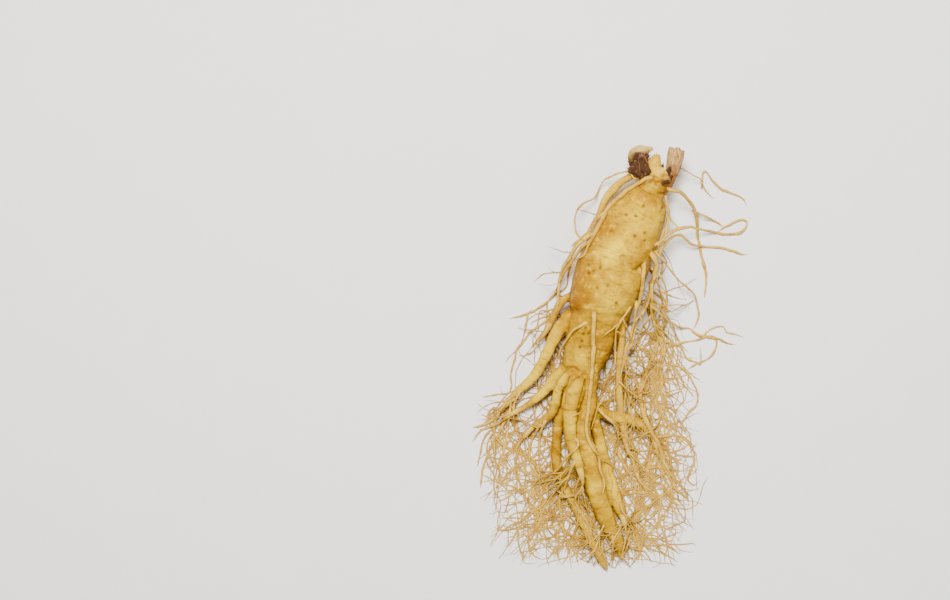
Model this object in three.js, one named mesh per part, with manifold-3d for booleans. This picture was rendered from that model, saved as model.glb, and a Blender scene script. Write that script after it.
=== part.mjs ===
// A fresh six-year ginseng root, lying on its side as it rests on a table.
// Millimetres, +Z up, crown towards +Y, legs towards -Y, underside on the plane Z = 0.
// Every limb is a list of stations [x, y, z, radius] along its middle line.
import * as THREE from "three";
import { mergeVertices } from "three/addons/utils/BufferGeometryUtils.js";
import Module from "manifold-3d";

// Driving dimensions.
const MIDDLE_X = 1.4; // middle of the outline seen from above, taken off every station
const MIDDLE_Y = 4.0;
const REACH = 400; // size of the block under the floor that trims the underside flat
const SCALE_THICKNESS = 0.5; // of a papery bud scale
const SCALE_TAPER = 0.75; // share of its width a bud scale loses towards the tip
const STUB_BORE = 1.3; // radius of the hollow pith at the end of the dried stem
const STUB_FLATNESS = 0.72; // height of the dried stem over its width
const BODY_FLATNESS = 0.98; // the same for the taproot's upper part
const WAIST_FLATTENING = 0.16; // how much less that is at the taproot's lower end
const UNEVENNESS = 0.02; // share of the radius by which the taproot is out of round

// How finely each kind of limb is divided: sides around it, steps along it.
const BODY_MESH = { sides: 22, steps: 34 };
const CROWN_MESH = { sides: 14, steps: 12 };
const LEG_MESH = { sides: 12, steps: 20 };
const LATERAL_MESH = { sides: 8, steps: 14 };
const STRAND_MESH = { sides: 6, steps: 16 };

const wasm = await Module();
wasm.setup();

// A closed tube bent along the stations. depth is its height over its width, and swell(angle, t)
// makes its section uneven.
function limb(stations, mesh, { depth = () => 1, swell = () => 1 } = {}) {
  const line = new THREE.CatmullRomCurve3(
    stations.map(([x, y, z]) => new THREE.Vector3(x - MIDDLE_X, y - MIDDLE_Y, z)),
  );
  const girth = new THREE.CatmullRomCurve3(
    stations.map(([, , , radius]) => new THREE.Vector3(radius, 0, 0)),
  );
  const tube = new THREE.CylinderGeometry(1, 1, 1, mesh.sides, mesh.steps);
  const place = tube.getAttribute("position");
  const up = new THREE.Vector3(0, 0, 1);
  for (let i = 0; i < place.count; i += 1) {
    const across = place.getX(i);
    const t = 0.5 - place.getY(i);
    const high = place.getZ(i);
    const angle = Math.atan2(high, across);
    const radius = girth.getPoint(t).x * swell(angle, t);
    const along = line.getTangent(t);
    const side = new THREE.Vector3().crossVectors(up, along).normalize();
    const front = new THREE.Vector3().crossVectors(along, side);
    const point = line.getPoint(t);
    point.addScaledVector(side, across * radius);
    point.addScaledVector(front, high * radius * depth(t));
    place.setXYZ(i, point.x, point.y, point.z);
  }
  return tube;
}

// A thin plate, wide by long, cupped across its width and rolled back towards its tip.
function scale(wide, long, cup, roll) {
  const plate = new THREE.BoxGeometry(wide, long, SCALE_THICKNESS, 6, 8, 1);
  const place = plate.getAttribute("position");
  for (let i = 0; i < place.count; i += 1) {
    const x = place.getX(i);
    const up = place.getY(i) / long + 0.5;
    const taper = 1 - SCALE_TAPER * up * up;
    const lift = cup * (2 * x / wide) ** 2 * taper + roll * up * up;
    place.setXYZ(i, x * taper, place.getY(i), place.getZ(i) - lift);
  }
  return plate;
}

function toSolid(geometry) {
  const bare = geometry.clone();
  bare.deleteAttribute("normal");
  bare.deleteAttribute("uv");
  const merged = mergeVertices(bare, 1e-4);
  return new wasm.Manifold(
    new wasm.Mesh({
      numProp: 3,
      vertProperties: merged.getAttribute("position").array,
      triVerts: new Uint32Array(merged.index.array),
    }),
  );
}

function toGeometry(solid) {
  const mesh = solid.getMesh();
  const geometry = new THREE.BufferGeometry();
  geometry.setAttribute("position", new THREE.BufferAttribute(mesh.vertProperties, 3));
  geometry.setIndex(new THREE.BufferAttribute(mesh.triVerts, 1));
  geometry.computeVertexNormals();
  return geometry;
}

// Taproot: broad shoulders, a bulging middle, a fold at the waist and a narrower lower part
// that ends where the legs leave it.
const BODY = [
  [22.5, 90, 15.5, 3],
  [19.5, 86, 15.5, 9.4],
  [15.8, 79.5, 15.6, 13.2],
  [11.3, 71, 15.8, 15.4],
  [6.5, 61, 16, 16.7],
  [2, 51, 16, 17.3],
  [-2.3, 41, 15.8, 17],
  [-4.6, 33, 15.2, 16.2],
  [-5.6, 28, 14.4, 15.3],
  [-6.6, 25, 13.6, 13.6],
  [-7.6, 22, 13, 13.6],
  [-9.6, 15, 11.6, 12.4],
  [-12.5, 7, 10.4, 11.4],
  [-16, -2, 9.6, 11],
  [-18, -9, 9, 8.4],
  [-19, -14, 8.4, 2],
];
const body = limb(BODY, BODY_MESH, {
  depth: (t) => BODY_FLATNESS - WAIST_FLATTENING * THREE.MathUtils.smoothstep(t, 0.55, 0.95),
  swell: (angle, t) =>
    1 + UNEVENNESS * (Math.sin(2 * angle + 5 * t) + 0.7 * Math.sin(3 * angle - 9 * t)),
});

// Rhizome: the short neck that carries last year's stem and next year's bud, and an old spur
// beside it that carries the side bud.
const RHIZOME = [
  [20.6, 85.5, 15.4, 6],
  [21.6, 89, 15.8, 7.6],
  [22.2, 92, 16.2, 7.4],
  [23, 95, 16.8, 5.6],
  [24, 98, 17.2, 4.6],
  [24.6, 99.6, 17.4, 1.6],
];
const SPUR = [
  [21, 93, 14, 3.6],
  [17.5, 97.5, 12.8, 3.6],
  [14, 101, 12, 3.2],
  [11.6, 103.6, 11.8, 2.4],
];

// Legs: the forked lower end of the taproot, thick as a pencil.
const LEGS = [
  // the longest, straight down the middle to a blunt tip
  [
    [-12, 8, 11.6, 6],
    [-11, -2.5, 12.4, 5.4],
    [-10.6, -12.5, 12.2, 4.7],
    [-11, -20, 11.6, 4.5],
    [-12.8, -28, 10.8, 3.9],
    [-12.9, -34, 10.2, 3.8],
    [-11, -42, 9.6, 4.5],
    [-9.2, -50, 8.8, 4.8],
    [-7, -60, 7.6, 5.3],
    [-4.6, -68.5, 6.6, 5],
    [-2.2, -75, 5.8, 4.5],
    [0.6, -81, 5.2, 4],
    [4, -87.5, 4.4, 3.6],
    [5.8, -92, 3.8, 2.9],
    [6.6, -95.6, 3, 1.8],
    [7, -98, 2.4, 0.7],
  ],
  // the one folded forward over it, with a knuckle at the top and a thin hooked end
  [
    [-14.5, 2, 12.6, 5],
    [-16.4, -7, 15.6, 4.4],
    [-17.6, -12, 16.4, 4.7],
    [-19.4, -18, 16.4, 4.8],
    [-20.2, -22, 16, 4.2],
    [-19.8, -27, 15.4, 3.6],
    [-19.8, -35, 14.6, 3.2],
    [-17.6, -42.5, 13.6, 2.9],
    [-15.6, -49, 12.6, 2.6],
    [-14, -55, 11.4, 1.4],
    [-13.6, -60, 10.6, 0.8],
    [-16.4, -64.6, 9, 0.7],
    [-21.6, -65.6, 7, 0.65],
    [-27.4, -65.4, 5, 0.5],
  ],
  // the left one, rounded at the top, which runs out into rootlets
  [
    [-16, 0, 9, 4.6],
    [-20, -4.6, 12.6, 3.8],
    [-23.6, -8.6, 12, 3.2],
    [-25.6, -13, 10.4, 2.8],
    [-27, -19, 8.4, 2.8],
    [-28.8, -23.4, 6.6, 2.6],
    [-32.4, -27, 4.8, 2.3],
    [-37.6, -30, 3.2, 1.7],
    [-43, -36, 2.2, 1.1],
    [-48, -44, 1.4, 0.7],
  ],
  // the right one, behind the longest
  [
    [-10, -8, 8, 4],
    [-7.6, -24, 7.6, 2.4],
    [-6, -32, 6.6, 2.6],
    [-4, -40, 5.6, 2.7],
    [-1.6, -49, 4.8, 3.2],
    [1.4, -58.5, 4.2, 3.3],
    [3.6, -66, 3.8, 3.3],
    [6, -72.5, 3.4, 3],
    [7.4, -77, 2.6, 1.7],
    [8.8, -83, 1.8, 0.9],
    [10.6, -91, 1.2, 0.6],
  ],
  // the lowest, which lies on the floor and comes out below the others
  [
    [-20, -8, 7, 4],
    [-23, -18, 5, 3.4],
    [-25.4, -30, 4, 3],
    [-26.4, -42, 3.2, 2.7],
    [-25.4, -53, 2.8, 2.5],
    [-21.6, -62, 2.6, 2.4],
    [-17.4, -70, 2.6, 2.4],
    [-14.6, -76, 2.6, 2.4],
    [-11, -83, 2.6, 2.2],
    [-7.4, -90, 2.7, 2.2],
    [-4.4, -96, 2.7, 2.3],
    [-1.8, -101, 2.2, 1.6],
    [-0.6, -103.4, 1.4, 0.6],
  ],
];

// Laterals: side roots a few millimetres thick that prop the body on the floor at both sides.
const LATERALS = [
  // a short stub high on the left flank
  [
    [-16, 36, 12, 3],
    [-23, 33.5, 11.4, 2.1],
    [-27, 27.5, 9.6, 2.1],
    [-29.6, 22, 8, 1.9],
    [-33, 16, 6, 1.2],
    [-38, 10, 4, 0.6],
  ],
  // the largest, out of the waist fold to the lower left
  [
    [-14, 26, 11, 4],
    [-20.4, 26.2, 12.6, 2.9],
    [-23.6, 22, 13, 3],
    [-26.4, 17, 12.6, 3.3],
    [-31, 7.5, 10.8, 2.9],
    [-35.6, -1.5, 8.2, 2.7],
    [-40.4, -8, 6, 2.5],
    [-44.6, -11.6, 4.6, 2.3],
    [-48, -15, 3.4, 1.8],
    [-52.6, -20.4, 2.2, 1.1],
    [-57.6, -26.4, 1.4, 0.9],
    [-63, -29.6, 0.9, 0.7],
    [-68.6, -31, 0.7, 0.6],
  ],
  // the one below it
  [
    [-20, 0, 8.6, 4],
    [-26.6, -4.6, 9, 2.6],
    [-30.5, -10.2, 7.4, 2.7],
    [-34.6, -14.6, 5.8, 2.4],
    [-38.6, -18, 4.6, 2.2],
    [-43, -21, 3.4, 1.7],
    [-48, -23.6, 2.4, 1.3],
    [-53, -29, 1.4, 0.9],
    [-57, -38, 0.9, 0.6],
  ],
  // the brown one to the right, behind the legs
  [
    [-11, -15, 8, 3.4],
    [-6, -21, 7.4, 3],
    [1, -25.2, 6, 2.8],
    [9, -26.4, 4.6, 2.5],
    [16, -29, 3.2, 2.3],
    [21, -33.4, 2.2, 1.9],
    [23.6, -39, 1.4, 1.3],
    [25.6, -47, 0.9, 0.7],
  ],
  // the straight one that leaves the waist as a ridge and hangs beside the legs on the right
  [
    [0, 31, 16, 6],
    [4.6, 25, 17, 3.6],
    [6, 19, 16.6, 2.1],
    [5.8, 12, 15.4, 1.7],
    [5.2, 4, 13.8, 1.65],
    [4.7, -4, 12, 1.7],
    [4.9, -13, 9.6, 1.75],
    [5.7, -20, 7.4, 1.7],
    [6.6, -27, 5.4, 1.5],
    [8, -34.5, 3.8, 1.35],
    [9.6, -42, 2.4, 1.2],
    [12.6, -48, 1.6, 0.9],
    [15.6, -57.5, 1, 0.7],
    [21, -63, 0.8, 0.6],
    [27, -67, 0.6, 0.5],
  ],
  // the flat greenish one that hangs from the rhizome
  [
    [19, 94.5, 13, 2],
    [14, 96.5, 12, 1.6],
    [8, 94, 11, 1.9],
    [2.6, 89.6, 9.4, 2.1],
    [-1.6, 84.6, 7.4, 1.9],
    [-4.6, 78, 5.6, 1.6],
    [-8, 71, 3.6, 1.3],
    [-13, 65, 2, 0.9],
    [-19, 61, 1, 0.6],
  ],
];

// Strands: the longest of the thin roots, a millimetre or two thick, which set the outline.
const STRANDS = [
  // from the rhizome down the left shoulder
  [
    [22, 94, 20, 1.3],
    [18, 94, 22, 1.2],
    [14, 91.6, 22.6, 1.1],
    [9, 88.4, 22, 1.1],
    [4, 84.6, 19.6, 1.1],
    [-1, 79.6, 16.4, 1.1],
    [-5, 73, 12.6, 1.1],
    [-9.6, 64, 9.6, 1],
    [-16, 57.6, 6.6, 0.9],
    [-22.6, 47, 3.4, 0.8],
    [-27, 37, 1.6, 0.7],
    [-34, 30, 0.9, 0.6],
    [-42, 26, 0.7, 0.6],
    [-50, 24, 0.7, 0.5],
  ],
  // from the rhizome over the right edge and down beside the body
  [
    [26, 90, 16, 1.4],
    [30, 88.6, 15, 1.1],
    [35, 87, 11, 0.9],
    [40, 83.4, 7, 0.8],
    [44, 77, 3.6, 0.8],
    [46.6, 65, 1.2, 0.7],
    [48.4, 50, 0.8, 0.7],
    [49, 35, 0.7, 0.6],
  ],
  // out of the right shoulder, straight away from it
  [
    [18, 59, 15, 1.2],
    [24, 62, 14.6, 0.9],
    [29, 66.4, 11.6, 0.8],
    [36, 69.8, 6, 0.8],
    [46, 69.6, 1.6, 0.7],
    [58, 68.6, 0.8, 0.7],
    [71, 66.5, 0.7, 0.6],
  ],
  // down the front from the waist fold, across the legs
  [
    [-8.4, 31, 24, 1.4],
    [-8.6, 24, 26.4, 1.3],
    [-8.6, 17.5, 23.8, 1.2],
    [-8.8, 7.5, 20.8, 1.2],
    [-9.2, -2.5, 19, 1.1],
    [-10, -12.5, 17.8, 1],
    [-11, -22.5, 16.8, 1],
    [-12, -30, 15.4, 0.9],
    [-10, -38, 14.6, 0.9],
    [-5.4, -45, 12.4, 0.8],
    [-4.4, -52, 9.6, 0.7],
    [-1, -60, 7, 0.5],
  ],
  // out of the dimple on the right flank, down to the ridge root
  [
    [14.6, 52, 20, 1.4],
    [16.2, 47.5, 22.6, 1.15],
    [15.2, 38, 19, 0.95],
    [14.5, 32.5, 17.2, 0.9],
    [12.6, 25.3, 16, 0.8],
    [11.9, 18.2, 15.4, 0.75],
    [11, 11.9, 15, 0.75],
    [8.3, 8.6, 14.8, 0.7],
    [5.6, 6.4, 14.2, 0.6],
  ],
  // the outer one on the right
  [
    [17, 56, 14, 1.6],
    [23, 53, 13.8, 1.4],
    [22, 45, 11, 1.2],
    [21.4, 34, 8.4, 1.1],
    [23, 24, 6.4, 1],
    [25, 12, 4.4, 0.9],
    [20.6, 0, 3, 0.9],
    [16.2, -11, 2, 1.1],
    [17.4, -22, 1.6, 1.3],
    [21, -31.5, 1.4, 1.2],
    [26, -41, 1.3, 1.1],
    [29, -52, 1, 0.8],
    [34, -62, 0.8, 0.6],
    [41, -68, 0.6, 0.5],
  ],
];

const solidLimb = (stations, mesh) => toSolid(limb(stations, mesh));
const floor = new THREE.BoxGeometry(REACH, REACH, REACH).translate(0, 0, -REACH / 2);
let grown = toSolid(body);
for (const stations of [RHIZOME, SPUR]) grown = grown.add(solidLimb(stations, CROWN_MESH));
for (const stations of LEGS) grown = grown.add(solidLimb(stations, LEG_MESH));
for (const stations of LATERALS) grown = grown.add(solidLimb(stations, LATERAL_MESH));
for (const stations of STRANDS) grown = grown.add(solidLimb(stations, STRAND_MESH));
grown = grown.subtract(toSolid(floor));

// Stem stub: what is left of last year's stem, a dried flattened tube with a torn open end.
const STUB = [
  [30.4, 95.2, 17.6, 1.9],
  [31, 97.5, 17.8, 2.9],
  [31.8, 101.5, 18, 3.8],
  [32.6, 105.5, 18, 4.1],
  [33.2, 109, 17.8, 4],
];
const BORE = [
  [32.6, 104.5, 18, STUB_BORE],
  [33, 107, 17.9, STUB_BORE],
  [33.6, 111, 17.7, STUB_BORE],
];
const stub = toSolid(limb(STUB, CROWN_MESH, { depth: () => STUB_FLATNESS })).subtract(
  toSolid(limb(BORE, STRAND_MESH)),
);

// Buds: next year's bud on top of the rhizome, and the pale side bud that curls off the spur.
const WINTER_BUD = [
  [22.6, 100.4, 20, 1.8],
  [22.3, 101.4, 20.2, 3],
  [22.3, 103.4, 20.6, 3.3],
  [22.8, 105.2, 20.8, 2.4],
  [23.4, 106.6, 20.8, 0.5],
];
const SIDE_BUD = [
  [10.2, 105.4, 11.8, 0.8],
  [10.6, 106.6, 12.4, 2],
  [12.6, 108.2, 13.2, 2.8],
  [15.6, 108.8, 13.8, 2.6],
  [19, 108.8, 14, 1.6],
  [21.6, 108.8, 14, 0.4],
];

const group = new THREE.Group();

function addNode(name, geometry, color, roughness) {
  const material = new THREE.MeshStandardMaterial({ color, roughness, metalness: 0 });
  const mesh = new THREE.Mesh(geometry, material);
  mesh.name = name;
  group.add(mesh);
  return mesh;
}

addNode("ginseng_root", toGeometry(grown), 0xdcba6c, 0.55);
addNode("stem_base", toGeometry(stub), 0xb79a80, 0.8);
addNode("winter_bud", limb(WINTER_BUD, CROWN_MESH), 0xe6c878, 0.5);
addNode("side_bud", limb(SIDE_BUD, CROWN_MESH), 0xd6c795, 0.5);

// Bud scales: dry papery leaves left around the buds. place is the middle of the scale, and turn
// gives its rotation about X, Y and Z in degrees.
const SCALES = [
  { wide: 7, long: 8, cup: 1.4, roll: 1.2, place: [14.6, 104.4, 18.6], turn: [12, 0, 62] },
  { wide: 6, long: 7, cup: 1.2, roll: 0.8, place: [11.6, 98, 17.4], turn: [10, -20, 80] },
  { wide: 6, long: 9, cup: 1.4, roll: 1, place: [16, 101.4, 22.8], turn: [16, -10, 16] },
  { wide: 4, long: 5.4, cup: 0.8, roll: 0.8, place: [29, 97.6, 22.3], turn: [14, 18, -24] },
];
SCALES.forEach(({ wide, long, cup, roll, place, turn }, i) => {
  const mesh = addNode(`bud_scale_${i + 1}`, scale(wide, long, cup, roll), 0x6d4b2c, 0.85);
  const [x, y, z] = place;
  mesh.position.set(x - MIDDLE_X, y - MIDDLE_Y, z);
  mesh.rotation.set(...turn.map(THREE.MathUtils.degToRad));
});

export default group;
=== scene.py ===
import math

import bpy
import numpy as np
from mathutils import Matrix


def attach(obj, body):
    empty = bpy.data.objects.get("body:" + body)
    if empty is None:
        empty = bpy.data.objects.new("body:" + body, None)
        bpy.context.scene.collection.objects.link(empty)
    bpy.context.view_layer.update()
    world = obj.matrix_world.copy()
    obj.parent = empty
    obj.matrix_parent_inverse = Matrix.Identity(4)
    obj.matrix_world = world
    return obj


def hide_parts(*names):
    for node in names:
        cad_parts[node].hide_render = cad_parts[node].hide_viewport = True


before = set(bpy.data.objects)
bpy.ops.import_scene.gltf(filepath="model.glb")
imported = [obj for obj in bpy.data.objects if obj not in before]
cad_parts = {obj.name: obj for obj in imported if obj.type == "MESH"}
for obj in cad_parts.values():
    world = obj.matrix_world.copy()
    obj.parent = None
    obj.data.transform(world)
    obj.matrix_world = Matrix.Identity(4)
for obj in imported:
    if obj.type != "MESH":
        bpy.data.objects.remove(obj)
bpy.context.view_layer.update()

# ---------------------------------------------------------------------------------------------
# Camera: straight above the root, looking down, with the crown at the top of the view and the
# root right of its middle. The view takes in 475 mm of table at the root's middle height.
VIEW_WIDTH = 0.475
LENS = 85
SENSOR = 36
CAMERA_X, CAMERA_Y = -0.0689, 0.0295
ROOT_MIDDLE_HEIGHT = 0.016
camera = bpy.data.objects.new("camera", bpy.data.cameras.new("camera"))
camera.data.lens = LENS
camera.data.sensor_width = SENSOR
camera.location = (CAMERA_X, CAMERA_Y, ROOT_MIDDLE_HEIGHT + VIEW_WIDTH * LENS / SENSOR)
bpy.context.scene.collection.objects.link(camera)
bpy.context.scene.camera = camera

# ---------------------------------------------------------------------------------------------
# Table and light: a matt off-white board, far wider than the root, in a white room, with one
# large soft lamp high up behind the crown and a weaker one on the other side.
MM = 0.001


def paint(red, green, blue):
    """A colour as a paint chart gives it, 0 to 255 a channel, in the renderer's own scale."""
    shares = np.array([red, green, blue]) / 255
    light = np.where(shares < 0.04045, shares / 12.92, ((shares + 0.055) / 1.055) ** 2.4)
    return (*light, 1)


def put(tree, kind, inputs=None, **settings):
    """Adds a node. Its inputs are set, or joined where the value is another node's output."""
    node = tree.nodes.new("ShaderNode" + kind)
    for key, value in settings.items():
        setattr(node, key, value)
    for key, value in (inputs or {}).items():
        if isinstance(value, bpy.types.NodeSocket):
            tree.links.new(value, node.inputs[key])
        else:
            node.inputs[key].default_value = value
    return node


def new_material(name):
    """An empty material and its output node."""
    material = bpy.data.materials.new(name)
    material.use_nodes = True
    material.node_tree.nodes.clear()
    return material, material.node_tree, put(material.node_tree, "OutputMaterial")


def noise(tree, place, scale, detail, rough=0.5, bend=0.0):
    """Soft random shading from 0 to 1."""
    return put(tree, "TexNoise", {"Vector": place, "Scale": scale, "Detail": detail,
                                  "Roughness": rough, "Distortion": bend}).outputs["Fac"]


def remap(tree, value, low, high, new_low=0.0, new_high=1.0):
    """Stretches a range of values onto another, and holds them inside it."""
    return put(tree, "MapRange", {"Value": value, "From Min": low, "From Max": high,
                                  "To Min": new_low, "To Max": new_high}).outputs["Result"]


def combine(tree, operation, first, second, clamp=False):
    """One sum on two values."""
    return put(tree, "Math", {0: first, 1: second}, operation=operation,
               use_clamp=clamp).outputs[0]


def tones(tree, share, *stops):
    """A colour that passes through the stops, (place, colour), as the share rises."""
    node = put(tree, "ValToRGB", {"Fac": share})
    for number, (place, colour) in enumerate(stops):
        elements = node.color_ramp.elements
        element = elements[number] if number < 2 else elements.new(place)
        element.position = place
        element.color = colour
    return node.outputs["Color"]


def blend_colour(tree, share, under, over):
    """Mixes two colours by a share."""
    return put(tree, "Mix", {0: share, 6: under, 7: over}, data_type="RGBA").outputs[2]


def read_mask(tree, name, output="Fac"):
    """The numbers stored on the mesh under a name."""
    return put(tree, "Attribute", attribute_name=name).outputs[output]


board_finish, tree, output = new_material("board")
place = put(tree, "TexCoord").outputs["Object"]
mottle = noise(tree, place, 30, 5)
tint = tones(tree, mottle, (0, paint(243, 241, 237)), (1, paint(248, 247, 244)))
board = put(tree, "BsdfPrincipled", {"Base Color": tint, "Roughness": 0.85})
tree.links.new(board.outputs["BSDF"], output.inputs["Surface"])

BOARD_HALF = 3
table_mesh = bpy.data.meshes.new("table")
corners = [(-1, -1), (1, -1), (1, 1), (-1, 1)]
table_mesh.from_pydata([(x * BOARD_HALF, y * BOARD_HALF, 0) for x, y in corners], [], [range(4)])
table_mesh.materials.append(board_finish)
table = bpy.data.objects.new("table", table_mesh)
bpy.context.scene.collection.objects.link(table)

room = bpy.data.worlds.new("room")
room.use_nodes = True
room.node_tree.nodes["Background"].inputs["Color"].default_value = paint(250, 251, 255)
room.node_tree.nodes["Background"].inputs["Strength"].default_value = 0.36
bpy.context.scene.world = room


def hang_lamp(name, place, size, power, color):
    """A square soft lamp, size across, that shines at the middle of the root."""
    lamp = bpy.data.objects.new(name, bpy.data.lights.new(name, "AREA"))
    lamp.data.size = size
    lamp.data.energy = power
    lamp.data.color = color
    lamp.location = place
    x, y, z = place
    lamp.rotation_euler = (math.atan2(math.hypot(x, y), z), 0, math.atan2(x, -y))
    bpy.context.scene.collection.objects.link(lamp)


hang_lamp("window_lamp", (-0.12, 0.4, 1), 0.36, 27, (1, 0.98, 0.94))
hang_lamp("fill_lamp", (0.7, -0.3, 0.8), 0.8, 4, (1, 1, 1))

# ---------------------------------------------------------------------------------------------
# Taproot: the thick yellow body with its rhizome, forked legs and largest side roots, all one
# growth. Each limb is a list of stations [x, y, z, radius] in millimetres along its middle line.
# The limbs are grown together, their joins are eased, and folds and creases are pressed in.
MIDDLE_X = 1.4
MIDDLE_Y = 4.0
GRAIN = 0.55  # size of the mesh's faces
THINNEST = 1.15  # a limb goes on as a separate thin root where its radius falls below this

BODY = [
    [22.5, 90, 15.5, 3], [19.5, 86, 15.5, 9.4], [15.8, 79.5, 15.6, 13.2], [11.3, 71, 15.8, 15.4],
    [6.5, 61, 16, 16.7], [2, 51, 16, 17.3], [-2.3, 41, 15.8, 17], [-4.6, 33, 15.2, 16.2],
    [-5.6, 28, 14.4, 15.3], [-6.6, 25, 13.6, 13.8], [-7.6, 22, 13, 13.5], [-9.6, 15, 11.6, 12.4],
    [-12.2, 7, 10.4, 11.4], [-14.2, 1, 9.8, 10.2], [-15.6, -3, 9.2, 8.6], [-17, -7, 8.8, 6],
    [-18, -10, 8.4, 2],
]
CROWN = [
    [[20.6, 85.5, 15.4, 6], [21.6, 89, 15.8, 7.6], [22.2, 92, 16.2, 7.4], [23, 95, 16.8, 5.6],
     [24, 98, 17.2, 4.6], [24.6, 99.6, 17.4, 1.6]],
    [[21, 93, 14, 3.6], [17.5, 97.5, 12.8, 3.6], [14, 101, 12, 3.2], [11.6, 103.6, 11.8, 2.4]],
]
LEGS = [
    [[-12, 8, 11.6, 6], [-11, -2.5, 12.4, 5.4], [-10.6, -12.5, 12.2, 4.7], [-11, -20, 11.6, 4.5],
     [-12.8, -28, 10.8, 3.9], [-12.9, -34, 10.2, 3.8], [-11, -42, 9.6, 4.5], [-9.2, -50, 8.8, 4.8],
     [-7, -60, 7.6, 5.3], [-4.6, -68.5, 6.6, 5], [-2.2, -75, 5.8, 4.5], [0.6, -81, 5.2, 4],
     [4, -87.5, 4.4, 3.6], [5.8, -92, 3.8, 2.9], [6.6, -95.6, 3, 1.8], [7, -98, 2.4, 0.7]],
    [[-16.5, -3.4, 14.4, 1.4], [-16.6, -5.4, 15.4, 3.7], [-17, -9, 16.2, 4.6],
     [-17.8, -13, 16.4, 4.8], [-19.4, -18, 16.4, 4.9], [-20.2, -22, 16, 4.2],
     [-19.8, -27, 15.4, 3.7], [-19.8, -35, 14.6, 3.3], [-17.6, -42.5, 13.6, 2.9],
     [-15.6, -49, 12.6, 2.6], [-14, -55, 11.4, 1.4], [-13.6, -60, 10.6, 0.8],
     [-16.4, -64.6, 9, 0.7], [-21.6, -65.6, 7, 0.65], [-27.4, -65.4, 5, 0.5]],
    [[-17.4, -0.8, 11.6, 1.4], [-19.2, -2.4, 12.8, 3.2], [-21, -5, 12.8, 3.9],
     [-23.6, -8.6, 12, 3.3], [-25.6, -13, 10.4, 2.9], [-27, -19, 8.4, 2.8],
     [-28.8, -23.4, 6.6, 2.6], [-32.4, -27, 4.8, 2.3], [-37.6, -30, 3.2, 1.7],
     [-43, -36, 2.2, 1.1], [-48, -44, 1.4, 0.7]],
    [[-10, -8, 8, 4], [-7.6, -24, 7.6, 2.4], [-6, -32, 6.6, 2.6], [-4, -40, 5.6, 2.7],
     [-1.6, -49, 4.8, 3.2], [1.4, -58.5, 4.2, 3.3], [3.6, -66, 3.8, 3.3], [6, -72.5, 3.4, 3],
     [7.4, -77, 2.6, 1.7], [8.8, -83, 1.8, 0.9], [10.6, -91, 1.2, 0.6]],
    [[-20, -8, 7, 4], [-23, -18, 5, 3.4], [-25.4, -30, 4, 3], [-26.4, -42, 3.2, 2.7],
     [-25.4, -53, 2.8, 2.5], [-21.6, -62, 2.6, 2.4], [-17.4, -70, 2.6, 2.4],
     [-14.6, -76, 2.6, 2.4], [-11, -83, 2.6, 2.2], [-7.4, -90, 2.7, 2.2], [-4.4, -96, 2.7, 2.3],
     [-1.8, -101, 2.2, 1.6], [-0.6, -103.4, 1.4, 0.6]],
]
LATERALS = [
    [[-16, 36, 12, 3], [-23, 33.5, 11.4, 2.1], [-27, 27.5, 9.6, 2.1], [-29.6, 22, 8, 1.9],
     [-33, 16, 6, 1.2], [-38, 10, 4, 0.6]],
    [[-14, 26, 11, 4], [-20.4, 26.2, 12.6, 2.9], [-23.6, 22, 13, 3], [-26.4, 17, 12.6, 3.3],
     [-31, 7.5, 10.8, 2.9], [-35.6, -1.5, 8.2, 2.7], [-40.4, -8, 6, 2.5], [-44.6, -11.6, 4.6, 2.3],
     [-48, -15, 3.4, 1.8], [-52.6, -20.4, 2.2, 1.1], [-57.6, -26.4, 1.4, 0.9],
     [-63, -29.6, 0.9, 0.7], [-68.6, -31, 0.7, 0.6]],
    [[-20, 0, 8.6, 4], [-26.6, -4.6, 9, 2.6], [-30.5, -10.2, 7.4, 2.7], [-34.6, -14.6, 5.8, 2.4],
     [-38.6, -18, 4.6, 2.2], [-43, -21, 3.4, 1.7], [-48, -23.6, 2.4, 1.3], [-53, -29, 1.4, 0.9],
     [-57, -38, 0.9, 0.6]],
    [[-11, -15, 8, 3.4], [-6, -21, 7.4, 3], [1, -25.2, 6, 2.8], [9, -26.4, 4.6, 2.5],
     [16, -29, 3.2, 2.3], [21, -33.4, 2.2, 1.9], [23.6, -39, 1.4, 1.3], [25.6, -47, 0.9, 0.7]],
    [[0, 31, 16, 6], [4.6, 25, 17, 3.6], [6, 19, 16.6, 2.1], [5.8, 12, 15.4, 1.7],
     [5.2, 4, 13.8, 1.65], [4.7, -4, 12, 1.7], [4.9, -13, 9.6, 1.75], [5.7, -20, 7.4, 1.7],
     [6.6, -27, 5.4, 1.5], [8, -34.5, 3.8, 1.35], [9.6, -42, 2.4, 1.2], [12.6, -48, 1.6, 0.9],
     [15.6, -57.5, 1, 0.7], [21, -63, 0.8, 0.6], [27, -67, 0.6, 0.5]],
    [[19, 94.5, 13, 2], [14, 96.5, 12, 1.6], [8, 94, 11, 1.9], [2.6, 89.6, 9.4, 2.1],
     [-1.6, 84.6, 7.4, 1.9], [-4.6, 78, 5.6, 1.6], [-8, 71, 3.6, 1.3], [-13, 65, 2, 0.9],
     [-19, 61, 1, 0.6]],
]


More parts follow.
